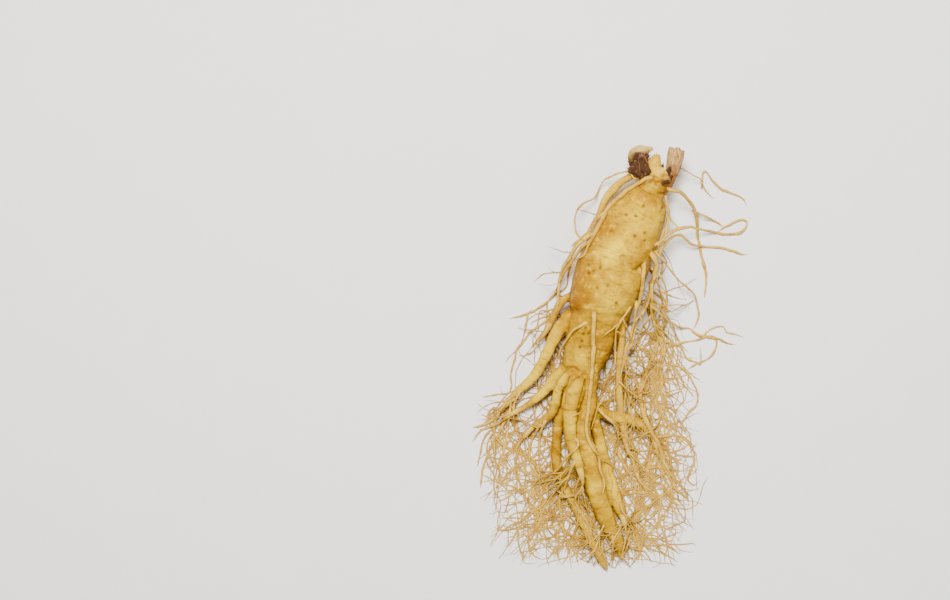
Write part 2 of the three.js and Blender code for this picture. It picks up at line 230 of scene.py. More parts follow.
def follow(stations, step):
    """Close points [x, y, z, radius] on one smooth line through the stations."""
    rows = np.array(stations, float) - [MIDDLE_X, MIDDLE_Y, 0, 0]
    rows = np.vstack([2 * rows[0] - rows[1], rows, 2 * rows[-1] - rows[-2]])
    knots = np.cumsum(np.linalg.norm(np.diff(rows[:, :3], axis=0), axis=1) ** 0.5)
    knots = np.concatenate([[0], knots])
    pieces = []
    for i in range(1, len(rows) - 2):
        a, b, c, d = rows[i - 1:i + 3]
        ka, kb, kc, kd = knots[i - 1:i + 3]
        count = max(2, round(np.linalg.norm(c[:3] - b[:3]) / step))
        k = np.linspace(kb, kc, count, endpoint=False)[:, None]
        ab = (a * (kb - k) + b * (k - ka)) / (kb - ka)
        bc = (b * (kc - k) + c * (k - kb)) / (kc - kb)
        cd = (c * (kd - k) + d * (k - kc)) / (kd - kc)
        abc = (ab * (kc - k) + bc * (k - ka)) / (kc - ka)
        bcd = (bc * (kd - k) + cd * (k - kb)) / (kd - kb)
        pieces.append((abc * (kc - k) + bcd * (k - kb)) / (kc - kb))
    line = np.vstack([*pieces, rows[-2:-1]])
    line[:, 3] = np.maximum(line[:, 3], 0.12)
    return line


def directions(line):
    """Unit vectors along a line, to its side and to its front."""
    run = np.gradient(line[:, :3], axis=0)
    run /= np.linalg.norm(run, axis=1, keepdims=True)
    side = np.cross([0, 0, 1], run)
    side /= np.maximum(np.linalg.norm(side, axis=1, keepdims=True), 1e-6)
    return run, side, np.cross(run, side)


def lengths(line):
    """How far along a line each of its points is."""
    return np.concatenate([[0], np.cumsum(np.linalg.norm(np.diff(line[:, :3], axis=0), axis=1))])


def tube_faces(rows, sides):
    """The four-sided faces of a closed tube with flat ends. The number of sides is even."""
    ring = np.arange(sides)
    step = np.arange(rows - 1)[:, None] * sides
    walls = np.stack([step + ring, step + (ring + 1) % sides,
                      step + sides + (ring + 1) % sides, step + sides + ring], axis=-1)
    k = np.arange(sides // 2 - 1)
    lid = np.stack([k, k + 1, sides - 2 - k, sides - 1 - k], axis=-1)
    return np.vstack([walls.reshape(-1, 4), lid[:, ::-1], lid + (rows - 1) * sides])


def wrap(line, sides, depth=1, swell=1):
    """Points and faces of a closed tube round a line."""
    _, side, front = directions(line)
    angle = np.linspace(0, 2 * np.pi, sides, endpoint=False)
    across = np.cos(angle) * line[:, 3:4] * swell
    high = np.sin(angle) * line[:, 3:4] * swell * depth
    points = line[:, None, :3] + across[..., None] * side[:, None]
    points = points + high[..., None] * front[:, None]
    return points.reshape(-1, 3), tube_faces(len(line), sides)


def gather(parts):
    """Several sets of points and faces as one."""
    starts = np.cumsum([0] + [len(points) for points, _ in parts])
    quads = [quads + start for (_, quads), start in zip(parts, starts)]
    return np.vstack([points for points, _ in parts]), np.vstack(quads)


def quad_mesh(name, points, quads, scale=MM):
    """A smooth mesh of four-sided faces."""
    mesh = bpy.data.meshes.new(name)
    mesh.vertices.add(len(points))
    mesh.vertices.foreach_set("co", (points * scale).astype(np.float32).ravel())
    mesh.loops.add(quads.size)
    mesh.loops.foreach_set("vertex_index", quads.astype(np.int32).ravel())
    mesh.polygons.add(len(quads))
    mesh.polygons.foreach_set("loop_start", np.arange(0, quads.size, 4, dtype=np.int32))
    mesh.polygons.foreach_set("use_smooth", np.ones(len(quads), bool))
    mesh.update(calc_edges=True)
    return mesh


def add_piece(name, mesh, material):
    """Puts a finished piece in the scene, on the root."""
    mesh.materials.append(material)
    piece = bpy.data.objects.new(name, mesh)
    bpy.context.scene.collection.objects.link(piece)
    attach(piece, "root")
    return piece


def grow_together(parts, grain):
    """Joins overlapping closed tubes into one skin with faces of one size."""
    draft = bpy.data.objects.new("draft", quad_mesh("draft", *gather(parts), scale=1))
    bpy.context.scene.collection.objects.link(draft)
    joiner = draft.modifiers.new("joiner", "REMESH")
    joiner.mode = "VOXEL"
    joiner.voxel_size = grain
    joined = draft.evaluated_get(bpy.context.evaluated_depsgraph_get()).to_mesh()
    points = np.empty(len(joined.vertices) * 3, np.float32)
    joined.vertices.foreach_get("co", points)
    quads = np.empty(len(joined.loops), np.int32)
    joined.loops.foreach_get("vertex_index", quads)
    mesh = draft.data
    bpy.data.objects.remove(draft)
    bpy.data.meshes.remove(mesh)
    return points.reshape(-1, 3).astype(float), quads.reshape(-1, 4)


def even_out(points, quads, pulls, weight=1.0):
    """Moves each point towards the mean of its neighbours, once for each pull."""
    edges = np.vstack([quads[:, [0, 1]], quads[:, [1, 2]], quads[:, [2, 3]], quads[:, [3, 0]]])
    ends, others = edges.ravel(), edges[:, ::-1].ravel()
    count = np.maximum(np.bincount(ends, minlength=len(points)), 1)[:, None]
    weight = np.reshape(weight, (-1, 1))
    for pull in pulls:
        mean = np.stack([np.bincount(ends, points[others, k], len(points)) for k in range(3)], 1)
        points = points + pull * weight * (mean / count - points)
    return points


def outward(points, quads):
    """The surface's unit normal at each point."""
    a, b, c, d = (points[quads[:, k]] for k in range(4))
    face = np.cross(c - a, d - b)
    normal = np.stack([np.bincount(quads.ravel(), np.repeat(face[:, k], 4), len(points))
                       for k in range(3)], 1)
    return normal / np.maximum(np.linalg.norm(normal, axis=1, keepdims=True), 1e-9)


def lumps(place, size, seed):
    """Smooth unevenness from -1 to 1, with bumps about size across."""
    heights = np.random.default_rng(seed).uniform(-1, 1, 8192)
    cell = np.floor(place / size).astype(np.int64)
    share = place / size - cell
    share = share * share * (3 - 2 * share)
    total = np.zeros(len(place))
    for corner in np.ndindex(2, 2, 2):
        weight = np.prod(np.where(corner, share, 1 - share), axis=1)
        total += weight * heights[(cell + corner) @ [127, 7919, 104729] % 8192]
    return total


def on_axis(values):
    """Numbers as places along one axis, where lumps can be read."""
    return np.column_stack([values, values * 0, values * 0])


def stacked(points, limb, pinch=0.3, gap=31.7):
    """Places on the limbs, narrowed across and set far apart, so that marks ring each one."""
    return points * [pinch, pinch, 1] + limb[:, None] * gap


def where_on(points, lines):
    """For each point: which limb it is on, its place there, and how near the next limb is."""
    nearest = np.full(len(points), np.inf)
    second = nearest.copy()
    limb = np.zeros(len(points), int)
    other = limb.copy()
    spot = np.zeros((len(points), 3))
    for index, line in enumerate(lines):
        knots = line[::2]
        run, side, front = directions(knots)
        length = lengths(knots)
        squares = (points ** 2).sum(1)[:, None] + (knots[:, :3] ** 2).sum(1)
        gap = np.sqrt(np.maximum(squares - 2 * points @ knots[:, :3].T, 0)) - knots[:, 3]
        at = gap.argmin(1)
        gap = gap[np.arange(len(points)), at]
        closer = gap < nearest
        other = np.where(closer, limb, np.where(gap < second, index, other))
        second = np.where(closer, nearest, np.minimum(second, gap))
        nearest = np.where(closer, gap, nearest)
        limb[closer] = index
        reach = points - knots[at, :3]
        local = np.stack([(reach * side[at]).sum(1), (reach * front[at]).sum(1),
                          length[at] + (reach * run[at]).sum(1)], 1)
        spot[closer] = local[closer]
    return limb, spot, second, other


def near_stroke(points, stroke):
    """How far each point is from a line of [x, y] stations, seen from above."""
    knots = np.array(stroke, float) - [MIDDLE_X, MIDDLE_Y]
    gap = np.full(len(points), np.inf)
    for a, b in zip(knots[:-1], knots[1:]):
        share = np.clip((points[:, :2] - a) @ (b - a) / ((b - a) @ (b - a)), 0, 1)
        gap = np.minimum(gap, np.linalg.norm(points[:, :2] - a - share[:, None] * (b - a), axis=1))
    return gap


BODY_FLATNESS = 0.98
WAIST_FLATTENING = 0.16
UNEVENNESS = 0.02
BODY_SIDES, LEG_SIDES, LATERAL_SIDES = 96, 48, 32
JOIN_REACH = 1.6
body_line = follow(BODY, 0.8)
t = np.linspace(0, 1, len(body_line))[:, None]
turn = np.linspace(0, 2 * np.pi, BODY_SIDES, endpoint=False)
ease = np.clip((t - 0.55) / 0.4, 0, 1)
body_depth = BODY_FLATNESS - WAIST_FLATTENING * ease * ease * (3 - 2 * ease)
body_swell = 1 + UNEVENNESS * np.sin(2 * turn + 5 * t) + 0.014 * np.sin(3 * turn - 9 * t)
parts = [wrap(body_line, BODY_SIDES, body_depth, body_swell)]
lines = [body_line]
tails = []
for number, stations in enumerate(CROWN + LEGS + LATERALS):
    sides = LEG_SIDES if number < len(CROWN + LEGS) else LATERAL_SIDES
    line = follow(stations, 0.6)
    thin = np.flatnonzero((line[:, 3] < THINNEST) & (np.arange(len(line)) > len(line) // 2))
    cut = thin[0] if len(thin) and len(line) - thin[0] > 8 else len(line)
    if cut < len(line):
        tails.append(line[cut - 12:])
    parts.append(wrap(line[:cut], sides))
    lines.append(line[:cut])
points, quads = grow_together(parts, GRAIN)
points = even_out(points, quads, [0.5, -0.52] * 4)
limb, spot, second, other = where_on(points, lines)
join = np.exp(-(np.maximum(second, 0) / JOIN_REACH) ** 2)
between_legs = (limb > 2) & (limb < 8) & (other > 2) & (other < 8)
points = even_out(points, quads, [0.6] * 12, join * np.where(between_legs, 0.1, 1))

# Folds and creases that can be seen one by one, as [x, y] lines with a width, a depth and the
# strength
# of the painted shade laid in them: the waist fold, the dimple on the right, the lip of the
# rhizome, and the tops and sides of the legs.
FOLDS = [
    ([[-20.5, 27], [-17, 28], [-13, 27], [-10, 26.2], [-6.5, 25.4], [-3, 24.6], [1, 25],
      [5, 24], [9, 24.5]], 2.2, 1.4, 0),
    ([[-6.9, 25], [-5.4, 24.2], [-4, 24.5], [-2.5, 23.8]], 0.5, 0.7, 0.9),
    ([[-7, 24.4], [-7.1, 22.2]], 0.45, 0.5, 0.9),
    ([[-10.2, 26], [-10.4, 18], [-10.6, 8], [-11, -2]], 0.7, 0.9, 0.5),
    ([[-6.9, 24], [-6.8, 14], [-7.4, 2]], 0.8, 0.7, 0.3),
    ([[5.4, 54.5], [7, 51], [9, 48.8], [11, 47.6], [13.5, 48.2], [15.8, 49.8]], 1.6, 2.3, 0),
    ([[3.4, 60], [5.2, 55], [6.6, 51.4]], 1.6, 0.7, 0),
    ([[5.7, 53.5], [6.6, 51.6], [7.6, 50.2], [9.2, 48.8]], 0.7, 0.7, 0.8),
    ([[9.6, 48.6], [11, 48.2], [12.6, 48.6]], 0.5, 0.5, 0.8),
    ([[8.7, 86.5], [8.9, 84], [8.6, 82], [6.5, 81]], 0.4, 0.4, 0.9),
    ([[10.4, 80.4], [11, 79]], 0.35, 0.3, 0.9),
    ([[17.8, 86.2], [18, 84.4]], 0.4, 0.3, 0.9),
    ([[19.7, 83], [19.8, 81.8]], 0.35, 0.3, 0.9),
    ([[14, 91.6], [15, 90.3], [17, 88.3], [20, 86.8], [24, 86.2], [27, 86.3], [29, 88]],
     0.7, 1.3, 1),
    ([[17, 94.4], [20, 93], [23, 92.6], [27, 93]], 0.5, 0.5, 0.9),
    ([[19, 95.6], [21.4, 94.2], [24.4, 94.4]], 0.4, 0.5, 0.8),
    ([[25.6, 91.6], [27, 89.6], [28, 90.4], [29, 88.6]], 0.5, 0.8, 1),
    ([[26, 89], [27.4, 88], [29.4, 90.6], [28.6, 91.6]], 0.4, 0.6, 0.9),
    ([[-27.8, -7.5], [-26, -5], [-24.2, -2.6], [-22.2, -0.8], [-18.5, -0.4], [-16, -2.2]],
     0.7, 1.2, 0.7),
    ([[-23.6, -18.5], [-23.2, -14.5], [-22.5, -10.8], [-20.1, -7.5], [-17.8, -5], [-14.5, -4],
      [-11.8, -3.8]], 0.7, 1.6, 1),
    ([[-11.6, -3.8], [-12, -7], [-13.5, -11.5], [-15.1, -17], [-15.1, -21]], 0.7, 1.5, 0.9),
    ([[-24.6, -21], [-21.4, -22], [-18, -22], [-15.4, -21.4]], 0.5, 0.7, 0.9),
    ([[-23, -13.4], [-19.4, -14], [-15, -13.2]], 0.5, 0.3, 0.3),
    ([[-26.2, -11], [-24.6, -12.4], [-23.2, -12.2]], 0.5, 0.6, 0.9),
    ([[-28, -17], [-25.6, -17.6]], 0.5, 0.4, 0.6),
    ([[-12.8, -12.6], [-9.6, -12], [-7, -12.8]], 0.5, 0.35, 0.4),
    ([[-14, -27.6], [-10.4, -27], [-8.6, -28]], 0.5, 0.4, 0.5),
    ([[-14, -37], [-11.4, -36.2], [-8.6, -37]], 0.5, 0.4, 0.5),
    ([[-22.6, -28.6], [-19.6, -29.4], [-17, -28.6]], 0.5, 0.35, 0.5),
    ([[-21.6, -37], [-19.2, -37.4]], 0.5, 0.35, 0.5),
    ([[5, 19.4], [3, 14], [1.8, 6], [0.6, -2]], 1.1, 1.0, 0.4),
    ([[-17, 21], [-19, 13], [-20, 6]], 1.4, 0.7, 0.1),
    ([[-3, -62], [-1, -64.4], [2, -64]], 0.5, 0.4, 0.6),
    ([[-2, -82], [2, -80.6], [5, -80]], 0.6, 0.5, 0.7),
]
PITS = [
    [11.3, 64.9], [16.3, 66.7], [16.3, 62.9], [11.9, 75], [7.2, 75.7], [15.6, 79.8], [25.5, 79.5],
    [-6, 49.3], [-9, 47.9], [-11.2, 50.8], [-11.2, 46.8], [-2, 40.5], [-7.5, 39.4], [2.4, 32.1],
    [-12.8, 19.5], [-13.8, 16.5], [-11.1, 16.6], [-15.3, 10], [-14.4, 13], [15.9, 80.3],
]
GROOVE_DEPTH, GROOVE_WIDTH = 0.7, 0.8  # between two legs that touch
PIT_DEPTH, PIT_WIDTH = 0.4, 0.75
normal = outward(points, quads)
facing = np.clip(normal[:, 2] * 4, 0, 1)
dent = GROOVE_DEPTH * between_legs * np.exp(-(np.maximum(second, 0) / GROOVE_WIDTH) ** 2)
# The dark mask starts as painted shade in the grooves between touching legs; the folds add painted
# shade, and the pits and ring wrinkles add the skin's real dark marks.
fold_shade_and_marks = dent.copy()
for stroke, width, depth, fold_shade in FOLDS:
    press = np.exp(-(near_stroke(points, stroke) / width) ** 2) * facing
    press *= 0.7 + 0.3 * lumps(points, 5, 8)
    dent = np.maximum(dent, depth * press)
    fold_shade_and_marks = np.maximum(fold_shade_and_marks, fold_shade * press ** 2.5)
for pit in PITS:
    reach = np.linalg.norm(points[:, :2] - np.array(pit) + [MIDDLE_X, MIDDLE_Y], axis=1)
    press = np.exp(-(reach / PIT_WIDTH) ** 2) * facing
    dent += PIT_DEPTH * press
    fold_shade_and_marks = np.maximum(fold_shade_and_marks, np.minimum(1.4 * press, 0.9))
dice = np.random.default_rng(11)
theta = np.arctan2(spot[:, 1], spot[:, 0])
girth = np.hypot(spot[:, 0], spot[:, 1])
for index, line in enumerate(lines):
    mine = limb == index
    stretch = len(line) * (0.8 if index == 0 else 0.6)
    for _ in range(int(stretch * (2.4 if index == 0 else 0.35 if index < 8 else 0.2))):
        at, around = dice.uniform(0, stretch), dice.uniform(-np.pi, np.pi)
        half = dice.uniform(1, 3.4) * (1 if index == 0 else 0.7)
        depth = dice.uniform(0.06, 0.26) * (1 if index == 0 else 0.8)
        slant = dice.uniform(-0.16, 0.16)
        off = (theta[mine] - around + np.pi) % (2 * np.pi) - np.pi
        arc = off * girth[mine]
        gap = spot[mine, 2] - at - slant * arc
        press = np.exp(-(gap / 0.42) ** 2 - (arc / half) ** 4)
        dent[mine] += depth * press
        fold_shade_and_marks[mine] = np.maximum(fold_shade_and_marks[mine], depth * 2.4 * press)
bulge = 0.8 * lumps(points, 20, 1) + 0.36 * lumps(points, 8, 2) + 0.13 * lumps(points, 2.6, 3)
ripple = 0.12 * lumps(stacked(spot, limb, 0.25), 1.5, 4)
knots = 0.6 * lumps(stacked(spot, limb, 0.12, 17.3), 3.4, 5)
big = np.where(limb == 0, 1, np.clip(girth / 6, 0.3, 0.8))
swelling = bulge * big + ripple * np.minimum(big * 1.4, 1) + np.where(limb > 2, knots * big, 0)
points = points + normal * (swelling - dent)[:, None]
points[:, 2] = np.maximum(points[:, 2], 0)


def patches(points, spots):
    """How strongly each point takes the tint of its nearest patches [x, y, radius, strength]."""
    total = np.zeros(len(points))
    for x, y, radius, strength in spots:
        reach = np.linalg.norm(points[:, :2] - [x - MIDDLE_X, y - MIDDLE_Y], axis=1) / radius
        total += strength * np.exp(-reach ** 2)
    return total


ORANGE = [
    [-6.5, 64.5, 5, 0.6], [-2, 70, 6, 0.4], [15, 87.3, 1.6, 0.7], [1, 66.5, 4, 0.3],
    [-10, 52.5, 7, 0.35], [-12.5, 47.5, 7, 0.45], [-17.5, 35, 6, 0.6], [-20, 30, 5, 0.6],
    [-12.5, 30, 5, 0.4],
    [2.5, 5, 6, 0.7], [-5, 5, 5, 0.4], [-17.5, 0, 5, 0.5], [5, 15, 5, 0.6], [19, 49, 3, 0.7],
    [27, 89, 2.5, 0.9], [29, 93, 2.5, 0.7], [14, -30, 8, 0.3],
    [-23, -30, 5, 0.6], [-26, -45, 5, 0.5], [-3, -79, 3, 0.5], [2, -84, 3, 0.5],
]
# Pale patches: paler skin, and painted highlights where the light falls brightest on the body and
# legs.
PALE_SKIN_AND_HIGHLIGHTS = [
    [0, 55, 8, 0.9], [5, 62, 6, 0.4], [15, 72.5, 8, 0.5], [1, 32.5, 8, 0.7], [22.5, 70, 5, 0.4],
    [-15, 5, 5, 0.5], [-30, 8, 8, 1], [-40, -8, 8, 1], [-32, -12, 8, 1], [-18, -30, 5, 0.8],
    [-16, -45, 5, 0.8], [24, 96, 5, 0.9], [20, 89, 3, 0.5], [-22, -66, 4, 0.8],
    [-12, -82, 6, 0.8], [3, -70, 4, 0.4], [-3, -40, 5, 0.6], [2, -60, 6, 0.8], [9, 95, 4, 0.8],
    [2, 90, 5, 0.9], [-3, 82, 5, 0.9], [-17, -10, 2.5, 0.9], [-19, -16, 2, 0.6], [6, -12, 4, 0.8],
    [7, -30, 5, 0.8], [-8.8, -60, 3, 0.8], [-7, -40, 3, 0.6], [-24, -6, 3, 0.6],
]
BARK = [
    [28, 90, 3, 1], [17, 93.6, 2.6, 1], [20, 93, 2, 1], [22.5, 92.6, 2, 0.9], [26, 92, 2, 1],
    [16.4, 91.6, 1.4, 0.6], [24, 86.8, 1.4, 0.6], [20, 87.4, 1.2, 0.5],
    [14.6, 93.2, 2.6, 0.8], [12, 99, 5, 0.9], [16, 98, 3, 0.9], [-17, 24, 1.6, 0.4],
    [-13, -5, 1.2, 0.5], [-24.6, -20.4, 1.8, 0.5], [-4, -78.4, 1.6, 0.5],
]


def add_mask(mesh, name, values):
    """Stores a number, or three, at each point of a mesh for its material to read."""
    values = np.asarray(values, np.float32)
    kind = "FLOAT" if values.ndim == 1 else "FLOAT_VECTOR"
    layer = mesh.attributes.new(name, kind, "POINT")
    layer.data.foreach_set("value" if values.ndim == 1 else "vector", values.ravel())


taproot_mesh = quad_mesh("taproot", points, quads)
add_mask(taproot_mesh, "fold_shade_and_marks", np.clip(fold_shade_and_marks, 0, 1))
add_mask(taproot_mesh, "orange", np.clip(patches(points, ORANGE), 0, 1))
add_mask(taproot_mesh, "pale_and_highlight", np.clip(patches(points, PALE_SKIN_AND_HIGHLIGHTS), 0, 1))
bark = patches(points, BARK) * (0.6 + 0.7 * lumps(points, 1.3, 6))
add_mask(taproot_mesh, "bark", np.clip(bark, 0, 0.9))
add_mask(taproot_mesh, "slim", np.where(limb > 2, np.clip((2.5 - girth) / 1.2, 0, 0.9), 0))
add_mask(taproot_mesh, "ring", stacked(spot, limb))


def new_group(name, inputs, outputs):
    """A shader node group with named inputs and outputs, and its two end nodes."""
    group = bpy.data.node_groups.new(name, "ShaderNodeTree")
    for direction, sockets in (("INPUT", inputs), ("OUTPUT", outputs)):
        for socket, kind in sockets.items():
            group.interface.new_socket(socket, in_out=direction, socket_type="NodeSocket" + kind)
    start = group.nodes.new("NodeGroupInput")
    return group, start.outputs, group.nodes.new("NodeGroupOutput").inputs


# Lenticels: the small dark breathing pores of the skin, short across the root.
lenticels, given, result = new_group(
    "lenticels", {"Ring": "Vector", "Spacing": "Float"}, {"Mask": "Float"})
density = combine(lenticels, "DIVIDE", 1.0, given["Spacing"])
wobble = noise(lenticels, given["Ring"], 0.8, 2)
cells = put(lenticels, "TexVoronoi", {"Vector": given["Ring"], "Scale": density}).outputs
chosen = combine(lenticels, "GREATER_THAN", cells["Color"], 0.62)
size = remap(lenticels, cells["Distance"], 0.16, 0.05)
some = combine(lenticels, "MULTIPLY", size, chosen)
lenticels.links.new(combine(lenticels, "MULTIPLY", some, wobble), result["Mask"])

# Ring wrinkles: fine lines across the root, left as it shrank and pulled itself into the ground.
ring_wrinkles, given, result = new_group(
    "ring_wrinkles", {"Ring": "Vector", "Fineness": "Float"}, {"Lines": "Float", "Height": "Float"})
shrunk = noise(ring_wrinkles, given["Ring"], given["Fineness"], 3, 0.6, 0.3)
ring_wrinkles.links.new(remap(ring_wrinkles, shrunk, 0.42, 0.32), result["Lines"])
ring_wrinkles.links.new(shrunk, result["Height"])

root_skin, tree, output = new_material("root_skin")
place = put(tree, "TexCoord").outputs["Object"]
ring_place = read_mask(tree, "ring", "Vector")
wide = noise(tree, place, 60, 4, 0.6)
cloud = noise(tree, place, 260, 5, 0.65)
colour = tones(tree, wide, (0.3, paint(150, 102, 0)), (0.72, paint(210, 163, 4)))
# Orange blotches of the skin, and pale patches that are partly paler skin and partly painted
# highlight.
for mask, shade, tint in (("orange", cloud, paint(148, 86, 0)),
                          ("pale_and_highlight", wide, paint(244, 206, 36))):
    share = combine(tree, "MULTIPLY", read_mask(tree, mask), shade)
    share = combine(tree, "MULTIPLY", share, 1.5, clamp=True)
    colour = blend_colour(tree, share, colour, tint)
colour = blend_colour(tree, remap(tree, cloud, 0.54, 0.7, 0, 0.7), colour, paint(140, 92, 0))
colour = blend_colour(tree, remap(tree, cloud, 0.46, 0.34, 0, 0.55), colour, paint(240, 202, 50))
colour = blend_colour(tree, read_mask(tree, "slim"), colour, paint(206, 162, 52))
colour = blend_colour(tree, read_mask(tree, "bark"), colour, paint(128, 78, 20))
wrinkles = put(tree, "Group", {"Ring": ring_place, "Fineness": 0.75},
               node_tree=ring_wrinkles).outputs
share = combine(tree, "MULTIPLY", wrinkles["Lines"], 0.5)
colour = blend_colour(tree, share, colour, paint(130, 76, 14))
pores = put(tree, "Group", {"Ring": ring_place, "Spacing": 2.6}, node_tree=lenticels).outputs
share = combine(tree, "MULTIPLY", pores["Mask"], 1.1, clamp=True)
colour = blend_colour(tree, share, colour, paint(78, 42, 10))
# Painted shade in the folds, the grooves between legs and along the leg outlines, together with the
# real dark pits and wrinkle lines.
share = combine(tree, "MULTIPLY", read_mask(tree, "fold_shade_and_marks"), 0.8)
colour = blend_colour(tree, share, colour, paint(84, 42, 8))
# Painted shade: the skin darkens towards the edges that turn away from view.
painted_edge_shade = put(tree, "LayerWeight", {"Blend": 0.5}).outputs["Facing"]
painted_edge_shade = remap(tree, painted_edge_shade, 0.35, 0.95, 0, 0.7)
colour = blend_colour(tree, painted_edge_shade, colour, paint(112, 66, 0))
relief = combine(tree, "SUBTRACT", wrinkles["Height"], pores["Mask"])
relief = combine(tree, "ADD", relief, cloud)
bump = put(tree, "Bump", {"Height": relief, "Strength": 0.8, "Distance": 0.0005})
skin = put(tree, "BsdfPrincipled", {"Base Color": colour, "Normal": bump.outputs["Normal"],
                                    "Roughness": remap(tree, cloud, 0.3, 0.7, 0.42, 0.62)})
skin.inputs["Specular IOR Level"].default_value = 0.12
skin.inputs["Specular Tint"].default_value = paint(255, 200, 90)
tree.links.new(skin.outputs["BSDF"], output.inputs["Surface"])

taproot = add_piece("taproot", taproot_mesh, root_skin)
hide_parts("ginseng_root")

